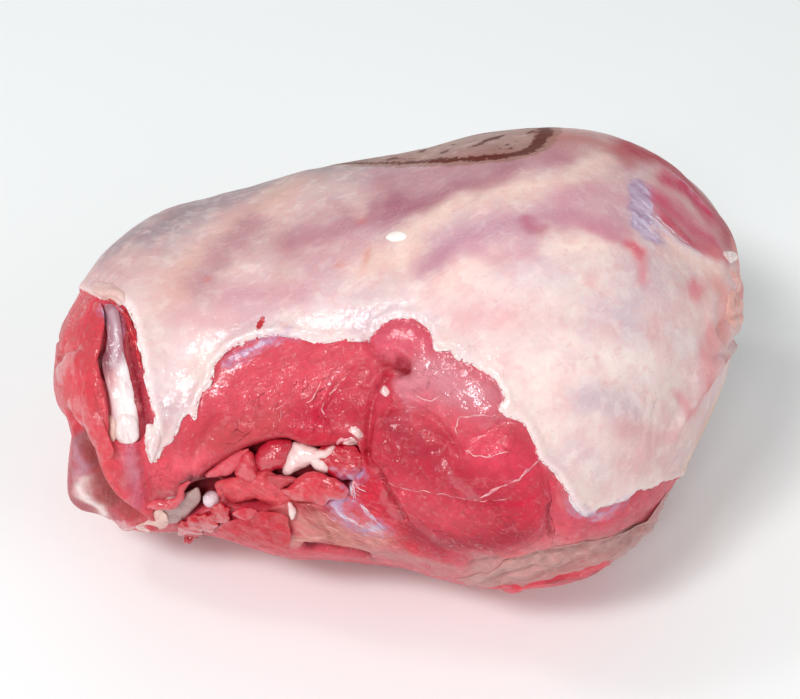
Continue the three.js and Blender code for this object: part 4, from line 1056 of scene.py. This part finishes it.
class LAMB_OT_flaps(bpy.types.Operator):
    """The loose flaps and lumps of meat in and below the opened seam"""
    bl_idname = "lamb.flaps"
    bl_label = "Flaps and scraps"

    def execute(self, context):
        finish = meat_finish()
        for name, *shells in [
                ("Cavity_lumps",
                 cushion(CRESCENT, high=-1.2, edge=-3.4, deep=12, flesh="#dd6f78", wet=0.3, seed=1),
                 cushion(LUMP_LEFT, high=0.2, edge=-3.6, deep=13, flesh="#d2505a", wet=1.0, rough=0.5, seed=2),
                 cushion(LUMP_RIGHT, high=-0.2, edge=-4.5, deep=13, flesh="#c12a44", wet=1.0, seed=3),
                 cushion(SEAM_LUMP, high=-0.6, edge=-2.4, deep=12, flesh="#c01636", wet=0.9, rough=0.8, seed=19)),
                ("Inner_ledge", cushion(LEDGE, high=-1.6, edge=-4, deep=12, rough=0.8, flesh="#cf5a5e", wet=0.3,
                                        seed=4)),
                ("Triangle_flap", cushion(TRIANGLE_FLAP, high=-0.2, edge=-2, deep=12, flesh="#b9595c", seed=5)),
                ("Tongue_flap", cushion(TONGUE, high=1.9, edge=-0.6, deep=12, flesh="#cc424c", wet=0.6, rough=0.6,
                                        seed=6)),
                ("Lower_flaps",
                 cushion(POINTED_FLAP, high=1.2, edge=-0.2, deep=8, flesh="#cc2440", wet=0.7, seed=7),
                 cushion(PLATE, high=1.2, edge=0.4, deep=7, flesh="#bc0a2a", rough=0.5, wet=0.35, seed=8)),
                ("Hanging_scraps",
                 *(cushion(outline, high=1.8, edge=-0.8, deep=8, rough=0.8, ragged=1.4, flesh="#c00626", wet=0.6,
                           seed=9 + k) for k, outline in enumerate(SCRAPS))),
                ("Shank_flaps",
                 cord(JOINT_ROLL, (0.8, 1.6, 2.0, 1.9, 1.7, 1.2, 0.7), level=-0.4, flat=0.8, wave=0.3,
                      flesh="#d6606a", wet=0.4, seed=14),
                 cushion(TROUGH_WALL, high=-1.4, edge=-3, deep=8, centre=(-82.6, -9), ragged=0.3, rough=0.35,
                         flesh="#8f2434", wet=0.25, seed=17),
                 cushion(LIP, high=1.9, edge=0.4, deep=6, tip=(0.2, 0.0), centre=(-96, -9), around=140, rings=26,
                         ragged=0.25, flesh="#cd4c54", wet=0.4, rough=0.4, seed=16),
                 cord(FRINGE, 0.75, level=-0.4, flat=0.7, wave=0.3, flesh="#c01828", wet=0.7, rough=0.3, seed=15)),
                ("Wrinkled_membrane",
                 cushion(MEMBRANE, high=0.9, edge=0.15, deep=3, square=4, centre=(55, -61.5), around=260, rings=40,
                         on_top=True, ragged=0.8, rough=0.0, pleats=(2.1, 0.42, 2.4), flesh="#b8968e", wet=0.3,
                         seed=18)),
                ("Muscle_fibres",
                 *(strand for k, guide in enumerate(FIBRE_BUNDLES) for strand in bundle(
                     *guide, seed=k + 1, flesh="#c98d82", wet=0.2))),
                # dark red cords along fine splits in the meat: their colour is painted shade
                ("Muscle_cracks",
                 *(cord(path, half, lift=-0.02, flat=0.5, wave=0.8, around=6, seed=k, rough=0.8, flesh="#8c1c30")
                   for k, (path, half) in enumerate(DARK_LINES)))]:
            build(name, shells, "meat", finish)
        return {"FINISHED"}


class LAMB_OT_strands(bpy.types.Operator):
    """The thin white lines of connective tissue on the bare muscles"""
    bl_idname = "lamb.strands"
    bl_label = "White strands"

    def execute(self, context):
        shells = [cord(path, half, lift=-0.04, flat=0.8, wave=0.7, around=8, seed=k, rough=0.7)
                  for k, (path, half) in enumerate(WHITE_LINES)]
        build("White_strands", shells, "gristle", sinew_finish("White strand", "#e9a9ab", "#cf7480"))
        shells = [strand for k, guide in enumerate(SILVER_BUNDLES) for strand in bundle(*guide, seed=k + 20)]
        build("Silver_strands", shells, "tendon", sinew_finish("Silver strand", "#e9dfe8", "#cbb2c6"))
        return {"FINISHED"}


class LAMB_OT_tendon(bpy.types.Operator):
    """The tendon in the opened shank end with the cartilage at its foot"""
    bl_idname = "lamb.tendon"
    bl_label = "Tendon"

    def execute(self, context):
        parts = []
        for code, outline, form in [
                ("#d9b4b8", TENDON, dict(high=-1.0, edge=-2.2, deep=7, square=3, centre=(-88, -8), around=120,
                                         rings=30)),
                ("#ecdcda", KNOB, dict(high=0.1, edge=-2.0, deep=6, square=2.6)),
                ("#e3b9ac", KNOB_FOLD, dict(high=0.6, edge=-1.2, deep=5))]:
            part = cushion(outline, rough=0.35, ragged=0.2, seed=len(parts) + 2, **form)
            s, t = to_sheet(part[0])
            tint = np.tile(hue(code), (len(s), 1))
            parts.append((*part[:3], {"tint": brush(tint, TENDON_STROKES if not parts else [], s, t)}))
        build("Tendon_cord", parts, "tendon", sinew_finish("Sinew"), "tendon")
        return {"FINISHED"}


class LAMB_OT_joint(bpy.types.Operator):
    """The end of the bone and the small cartilage ball in the joint hollow"""
    bl_idname = "lamb.joint"
    bl_label = "Joint bone and cartilage"

    def execute(self, context):
        build("Joint_bone_end", [cushion(BONE_END, high=-0.6, edge=-2.6, deep=7, square=2.6, rough=0.15, ragged=0.1)],
              "bone", sinew_finish("Bone", "#ab8783", "#946668"), "joint_bone")
        build("Bone_rim", [cushion(BONE_RIM, high=1.0, edge=-0.2, deep=5, rough=0.4, seed=3)], "bone",
              sinew_finish("Bone rim", "#e4bcb0", "#cd938b"))
        build("Cartilage_pearl", [ball(at=(-59, -47), size=(2.8, 2.8, 2.8), sunk=3.4, seed=5)], "cartilage",
              sinew_finish("Cartilage", "#dcc3cb", "#c58f9c"), "cartilage_ball")
        return {"FINISHED"}


class LAMB_OT_gristle(bpy.types.Operator):
    """The white chunk of gristle between the muscles, small bits of it, and a small raised lump on the fell, coloured
    near white as a painted highlight
    """
    bl_idname = "lamb.gristle"
    bl_label = "Gristle and highlight lump"

    def execute(self, context):
        finish = sinew_finish("Gristle", "#edd2cf", "#e2b4b2")
        lump = cushion(GRISTLE, high=-0.6, edge=-4, deep=9, square=2.2, rough=0.25, ragged=0.2, seed=1)
        build("Gristle_lump", [lump], "gristle", finish, "gristle_chunk")
        forms = [dict(high=0.0, edge=-2.6, deep=5), dict(high=-0.4, edge=-2.8, deep=5),
                 dict(high=0.5, deep=2, on_top=True), dict(high=0.4, deep=2, on_top=True),
                 dict(high=0.8, deep=2, on_top=True), dict(high=1.2, deep=3)]
        bits = [cushion(outline, **form) for outline, form in zip(GRISTLE_BITS, forms)]
        build("Gristle_bits", bits, "gristle", finish)
        # a small raised lump on the fell, coloured near white as a painted highlight
        oval = cushion(HIGHLIGHT_OVAL, high=0.9, edge=0, deep=2, on_top=True, rough=0, ragged=0.1)
        build("Highlight_lump", [oval], "gristle", sinew_finish("Painted highlight", "#fffaf6", "#f7e9e2"))
        return {"FINISHED"}


# ---------------------------------------------------------------- finishes

class Finish:
    """Node material that is built up socket by socket. Its place is the object coordinates, in mm."""

    def __init__(self, name):
        self.material = bpy.data.materials.new(name)
        self.material.use_nodes = True
        self.tree = self.material.node_tree
        self.shader = self.tree.nodes["Principled BSDF"]
        spot = self.add("ShaderNodeTexCoord").outputs["Object"]
        self.place = self.scaled(spot, (1 / MM,) * 3)

    def add(self, kind, inputs=None, **settings):
        made = self.tree.nodes.new(kind)
        for key, value in settings.items():
            setattr(made, key, value)
        for key, value in (inputs or {}).items():
            if isinstance(value, bpy.types.NodeSocket):
                self.tree.links.new(value, made.inputs[key])
            else:
                made.inputs[key].default_value = value
        return made

    def attribute(self, name, output="Fac"):
        return self.add("ShaderNodeAttribute", attribute_name=name).outputs[output]

    def scaled(self, vector, factors):
        return self.add("ShaderNodeVectorMath", {0: vector, 1: factors}, operation="MULTIPLY").outputs[0]

    def moved(self, vector, by):
        return self.add("ShaderNodeVectorMath", {0: vector, 1: by}, operation="ADD").outputs[0]

    def turned(self, vector, axis, degrees):
        return self.add("ShaderNodeVectorRotate", {"Vector": vector, "Angle": math.radians(degrees)},
                        rotation_type=axis + "_AXIS").outputs[0]

    def math(self, operation, a, b=0.0, c=0.0):
        return self.add("ShaderNodeMath", {0: a, 1: b, 2: c}, operation=operation).outputs[0]

    def total(self, *terms):
        """Sum of values, each given as a socket or as (socket, factor)."""
        result = 0.0
        for term in terms:
            socket, factor = term if isinstance(term, tuple) else (term, 1.0)
            result = self.math("MULTIPLY_ADD", socket, factor, result)
        return result

    def step(self, value, low, high, start=0.0, end=1.0):
        return self.add("ShaderNodeMapRange", {"Value": value, "From Min": low, "From Max": high, "To Min": start,
                                               "To Max": end}, interpolation_type="SMOOTHSTEP").outputs[0]

    def noise(self, vector, scale, detail=3.0, output="Fac"):
        return self.add("ShaderNodeTexNoise", {"Vector": vector, "Scale": scale, "Detail": detail}).outputs[output]

    def web(self, vector, scale, width):
        """Thin lines on the borders of scattered cells: 1 on a border, fading to 0 over the width."""
        distance_to_edge = self.add("ShaderNodeTexVoronoi", {"Vector": vector, "Scale": scale},
                                    feature="DISTANCE_TO_EDGE").outputs["Distance"]
        return self.step(distance_to_edge, 0.0, width, 1.0, 0.0)

    def sheet(self):
        """The place turned so that its x and y lie along and up the leaning sheet."""
        return self.turned(self.place, "X", -90 + math.degrees(SHEET_TILT))

    def streaks(self, sheet, degrees, stretch, detail=4.0):
        """Noise drawn out along a direction of the sheet."""
        return self.noise(self.scaled(self.turned(sheet, "Z", degrees), stretch), 1.0, detail)

    def mix(self, factor, a, b):
        a, b = ((*v, 1.0) if isinstance(v, np.ndarray) else v for v in (a, b))
        return self.add("ShaderNodeMix", {0: factor, 6: a, 7: b}, data_type="RGBA").outputs[2]

    def product(self, first, *others):
        for other in others:
            first = self.math("MULTIPLY", first, other)
        return first

    def laid(self, colour, code, *shares):
        """The colour with another one laid over it, as much as the product of the shares."""
        return self.mix(self.product(*shares), colour, hue(code))

    def shaded(self, colour, factor):
        return self.add("ShaderNodeVectorMath", {0: colour, 3: factor}, operation="SCALE").outputs[0]

    def finish(self, colour, rough, height, coat, coat_rough, film=None, shine=0.5, coat_index=1.5):
        """Connects colour, roughness and two heights in mm, of the tissue and of the wet film over it; shine and
        the film's roughness are the same all over."""
        bump, over = (self.add("ShaderNodeBump", {"Height": level, "Strength": 1.0, "Distance": MM}).outputs[0]
                      for level in (height, height if film is None else film))
        for key, value in {"Base Color": colour, "Roughness": rough, "Normal": bump, "Coat Normal": over,
                           "Coat Weight": coat}.items():
            if isinstance(value, bpy.types.NodeSocket):
                self.tree.links.new(value, self.shader.inputs[key])
            else:
                self.shader.inputs[key].default_value = value
        self.shader.inputs["Coat Roughness"].default_value = coat_rough
        self.shader.inputs["Specular IOR Level"].default_value = shine
        self.shader.inputs["Coat IOR"].default_value = coat_index
        return self.material


def meat_finish():
    """Red meat under a thin fell: two painted tints, divided at the fell's edge, with grain and wet gloss. The
    meat is coarser where it is dry, and the film of wet over it is smooth, so that it sparkles."""
    if "Meat and fell" in bpy.data.materials:
        return bpy.data.materials["Meat and fell"]
    f = Finish("Meat and fell")
    p = f.place
    wobble = f.moved(f.noise(p, 0.22, 3.0, "Color"), (-0.5, -0.5, -0.5))
    bent = f.moved(p, f.scaled(wobble, (5, 5, 5)))
    sheet = f.sheet()
    small = f.noise(p, 1.3, 3.0)
    broad = f.noise(p, 0.09, 4.0)
    patch = f.noise(p, 0.16, 2.0)
    # fibres in three directions, the painted shares of which cross-fade
    shares = f.add("ShaderNodeSeparateColor", {0: f.attribute("fibres", "Color")}).outputs
    grains = [0.0] * len(GRAINS)
    for share, angle in zip(shares, FIBRE_ANGLES):
        run = f.turned(sheet, "Z", -angle)
        grains = [f.math("MULTIPLY_ADD", share, f.noise(f.scaled(run, stretch), 1.0, detail), so_far)
                  for so_far, (stretch, detail) in zip(grains, GRAINS)]
    fibre, strand, ripple = grains
    # bare meat
    lumpy = f.noise(p, 0.3, 4.0)
    grain = f.noise(bent, 0.7, 5.0)
    dry = f.step(f.attribute("wet"), 0.2, 0.8, 1.0, 0.4)
    tone = f.math("MULTIPLY_ADD", dry, f.total((fibre, 0.25), (lumpy, 0.5), (grain, 0.3), -0.53), 1.0)
    meat = f.shaded(f.attribute("meat_tint", "Color"), tone)
    meat = f.laid(meat, "#e39aa0", f.step(strand, 0.56, 0.7), f.step(patch, 0.4, 0.6, 0.03, 0.16))
    meat = f.laid(meat, "#8d1c30", f.step(strand, 0.42, 0.3), f.step(broad, 0.4, 0.6, 0.25, 0.05))
    meat = f.laid(meat, "#e58f94", f.web(bent, 0.17, 0.03), f.step(patch, 0.48, 0.62), 0.2)
    meat = f.laid(meat, "#dd7f86", f.step(f.noise(bent, 0.24, 5.0), 0.56, 0.72), f.step(broad, 0.42, 0.6), dry, 0.3)
    # a web of fine splits, sunk a little by the bump and darkened in colour with painted shade
    crack_and_shade_lines = f.product(f.web(bent, 0.3, 0.03), f.step(broad, 0.54, 0.64))
    meat = f.laid(meat, "#8a1c2c", crack_and_shade_lines, 0.16)
    # fell
    streak = f.streaks(sheet, -32, (0.06, 0.7, 0.5))
    fell = f.attribute("fell_tint", "Color")
    vivid = f.add("ShaderNodeSeparateColor", {0: fell}, mode="HSV").outputs[1]
    calm = f.step(vivid, 0.3, 0.55, 1.0, 0.1)
    for at, spread, low, high, code, share in FELL_CLOUDS:
        cloud = f.step(f.noise(f.moved(bent, (at, at, at)), spread, 6.0), low, high)
        fell = f.laid(fell, code, cloud, calm, share)
    fell = f.shaded(fell, f.total((broad, 0.16), (small, 0.05), 0.9))
    fell = f.laid(fell, "#f6e8e4", f.step(streak, 0.52, 0.75), f.product(calm, 0.14))
    for angle, at in SKIN_LINES:
        line = f.streaks(f.moved(sheet, (at, at, at)), angle, (0.05, 0.9, 0.5), detail=3.0)
        middle = f.math("ABSOLUTE", f.math("SUBTRACT", line, 0.5))
        here = f.step(f.noise(f.moved(bent, (at, at, at)), 0.07, 2.0), 0.48, 0.62)
        fell = f.laid(fell, "#fbf0ed", f.step(middle, 0.0, 0.018, 1.0, 0.0), here, 0.16)
    fell = f.laid(fell, "#bd6f7c", f.web(bent, 0.06, 0.014), f.step(patch, 0.5, 0.66), 0.2)
    bare = f.attribute("bare")
    fell = f.laid(fell, "#f4e0df", f.step(bare, -3.0, -0.3), f.total((small, 0.5), 0.2))
    cut = f.step(f.total(bare, (small, 1.6), -0.8), -0.15, 0.15)
    colour = f.mix(cut, fell, meat)
    # silver tissue, ink and blood
    ragged = f.total(f.attribute("silver"), (f.noise(p, 0.5, 4.0), 2.5), -1.25)
    silver = f.product(f.step(ragged, -0.8, 1.6), 0.82)
    sheen = f.streaks(sheet, 42, (0.05, 0.4, 0.3))
    colour = f.mix(silver, colour, f.mix(f.step(sheen, 0.42, 0.76), hue("#a585ac"), hue("#d6cae2")))
    ink = f.step(f.total(f.attribute("ink"), (f.noise(p, 0.7, 4.0), 4.0), -2.1), -0.4, 0.8)
    halo = f.step(f.total(f.attribute("ink"), (f.noise(p, 0.3, 3.0), 3.0), -1.5), -3.0, -1.6)
    colour = f.laid(colour, "#93684f", halo, 0.6)
    colour = f.laid(colour, "#611a06", ink, 0.97)
    blood = f.step(f.total(f.attribute("blood"), (small, 0.8), -0.4), -0.12, 0.12)
    colour = f.laid(colour, "#b5101f", blood)
    # relief and gloss
    gleam = f.product(f.attribute("wet"), f.step(f.noise(p, 0.22, 2.0), 0.36, 0.56, 0.45, 1.0))
    wet = f.math("MAXIMUM", gleam, f.product(silver, 0.5))
    meat_height = f.total((fibre, 0.08), (strand, 0.07), (lumpy, 0.35), (grain, 0.12), (crack_and_shade_lines, -0.12))
    fell_height = f.total((f.noise(p, 0.3, 3.0), 0.3), (streak, 0.12))
    height = f.add("ShaderNodeMix", {0: cut, 2: fell_height, 3: meat_height}, data_type="FLOAT").outputs[0]
    film = f.total((f.noise(p, 0.25, 1.0), 0.25), (f.noise(p, 1.6, 1.0), 0.085), (f.product(cut, ripple), 0.08))
    spots = f.product(f.step(f.noise(f.moved(p, (9, 5, 2)), 0.3, 2.0), 0.63, 0.7), f.product(cut, 0.4))
    specks = f.product(f.step(f.noise(f.moved(p, (3, 8, 1)), 0.9, 1.0), 0.6, 0.68),
                       f.step(bare, -18.0, -4.0, 0.0, 0.8))
    gloss = f.math("MAXIMUM", f.step(wet, 0.2, 0.55), f.product(cut, 0.12))
    gloss = f.math("MAXIMUM", gloss, f.math("MAXIMUM", spots, specks))
    rough = f.total((gloss, -0.12), (f.noise(p, 0.5, 2.0), 0.06), 0.44)
    f.shader.inputs["Subsurface Weight"].default_value = 0.15
    f.shader.inputs["Subsurface Radius"].default_value = (1.0, 0.3, 0.25)
    f.shader.inputs["Subsurface Scale"].default_value = 2 * MM
    return f.finish(colour, rough, height, coat=gloss, coat_rough=0.08, film=film, shine=0.3, coat_index=1.7)


def sinew_finish(name, pale=None, dark=None):
    """Pale wet tissue, its colour mottled between two tints or taken from the mesh."""
    f = Finish(name)
    mottle = f.noise(f.place, 0.2, 3.0)
    if pale:
        colour = f.mix(f.step(mottle, 0.35, 0.62), hue(dark), hue(pale))
    else:
        tint = f.attribute("tint", "Color")
        streak = f.streaks(f.sheet(), -12, (1.1, 0.14, 0.5))
        colour = f.mix(f.step(streak, 0.45, 0.3, 0.0, 0.3), tint, hue("#b8707f"))
        colour = f.mix(f.step(streak, 0.55, 0.7, 0.0, 0.35), colour, hue("#fbf6f6"))
    height = f.total((f.noise(f.place, 0.6, 2.0), 0.3))
    rough = f.total((mottle, 0.2), 0.25)
    film = f.total((f.noise(f.place, 0.25, 1.0), 0.3), (f.noise(f.place, 0.9, 1.0), 0.08))
    return f.finish(colour, rough, height, coat=0.8, coat_rough=0.08, film=film)


def floor_finish():
    """Matt pale floor with a faint unevenness of tone."""
    f = Finish("Pale floor")
    base = np.array(bpy.context.scene.lamb_leg_colours.floor)
    colour = f.mix(f.noise(f.place, 0.004, 2.0), base, base * 1.02)
    return f.finish(colour, 0.9, f.total((f.noise(f.place, 0.5, 2.0), 0.01)), coat=0.0, coat_rough=0.0)


# ---------------------------------------------------------------- stage

class LAMB_OT_stage(bpy.types.Operator):
    """Pale floor, soft lights and the camera"""
    bl_idname = "lamb.stage"
    bl_label = "Stage"

    def execute(self, context):
        scene = context.scene
        light = scene.lamb_leg_light
        mesh = bpy.data.meshes.new("Floor")
        corners = [(x * FLOOR_HALF, y * FLOOR_HALF, 0) for x, y in ((-1, -1), (1, -1), (1, 1), (-1, 1))]
        mesh.from_pydata(corners, [], [(0, 1, 2, 3)])
        floor = bpy.data.objects.new("Floor", mesh)
        scene.collection.objects.link(floor)
        floor.data.materials.append(floor_finish())

        target = np.array([0, SHEET_Y - MIDDLE_Y, SHEET_Z]) * MM
        camera_data = bpy.data.cameras.new("Camera")
        camera_data.lens = light.lens
        camera = bpy.data.objects.new("Camera", camera_data)
        camera.location = target + VIEW_WIDTH * MM * light.lens / camera_data.sensor_width * OUT_OF_SHEET
        camera.rotation_euler = (math.pi / 2 - SHEET_TILT, 0, 0)
        scene.collection.objects.link(camera)
        scene.camera = camera

        for name, turn, rise, size, share, mirrored in LAMPS:
            turn, rise = math.radians(turn), math.radians(rise)
            lamp_data = bpy.data.lights.new(name, "AREA")
            lamp_data.size = size
            lamp_data.energy = light.key_power * share
            lamp = bpy.data.objects.new(name, lamp_data)
            away = np.array([math.cos(rise) * math.sin(turn), -math.cos(rise) * math.cos(turn), math.sin(rise)])
            lamp.location = target + LAMP_DISTANCE * away
            lamp.rotation_euler = Vector(away).to_track_quat("Z", "Y").to_euler()
            lamp.visible_glossy = mirrored
            scene.collection.objects.link(lamp)

        world = bpy.data.worlds.new("World")
        scene.world = world
        world.use_nodes = True
        world.node_tree.nodes["Background"].inputs["Color"].default_value = (1, 1, 1, 1)
        world.node_tree.nodes["Background"].inputs["Strength"].default_value = light.sky
        scene.view_settings.view_transform = "Standard"
        return {"FINISHED"}


class LAMB_PT_panel(bpy.types.Panel):
    """Lists the leg's pieces in the order they are made"""
    bl_idname = "LAMB_PT_panel"
    bl_label = "Raw Leg of Lamb"
    bl_space_type = "VIEW_3D"
    bl_region_type = "UI"
    bl_category = "Lamb"

    def draw(self, context):
        for name in SETTINGS:
            group = getattr(context.scene, name)
            for key in group.__annotations__:
                self.layout.prop(group, key)
        for operator in OPERATORS:
            self.layout.operator(operator.bl_idname)


SETTINGS = {"lamb_leg_sizes": LambLegSizes, "lamb_leg_colours": LambLegColours, "lamb_leg_light": LambLegLight}
OPERATORS = [LAMB_OT_stage, LAMB_OT_leg, LAMB_OT_hem, LAMB_OT_flaps, LAMB_OT_strands, LAMB_OT_tendon,
             LAMB_OT_joint, LAMB_OT_gristle]


def register():
    for group in SETTINGS.values():
        bpy.utils.register_class(group)
    for name, group in SETTINGS.items():
        setattr(bpy.types.Scene, name, bpy.props.PointerProperty(type=group))
    for operator in OPERATORS:
        bpy.utils.register_class(operator)
    bpy.utils.register_class(LAMB_PT_panel)


def unregister():
    bpy.utils.unregister_class(LAMB_PT_panel)
    for operator in reversed(OPERATORS):
        bpy.utils.unregister_class(operator)
    for name, group in SETTINGS.items():
        delattr(bpy.types.Scene, name)
        bpy.utils.unregister_class(group)


def main():
    register()
    for operator in OPERATORS:
        group, name = operator.bl_idname.split(".")
        getattr(getattr(bpy.ops, group), name)()


if __name__ == "__main__":
    main()
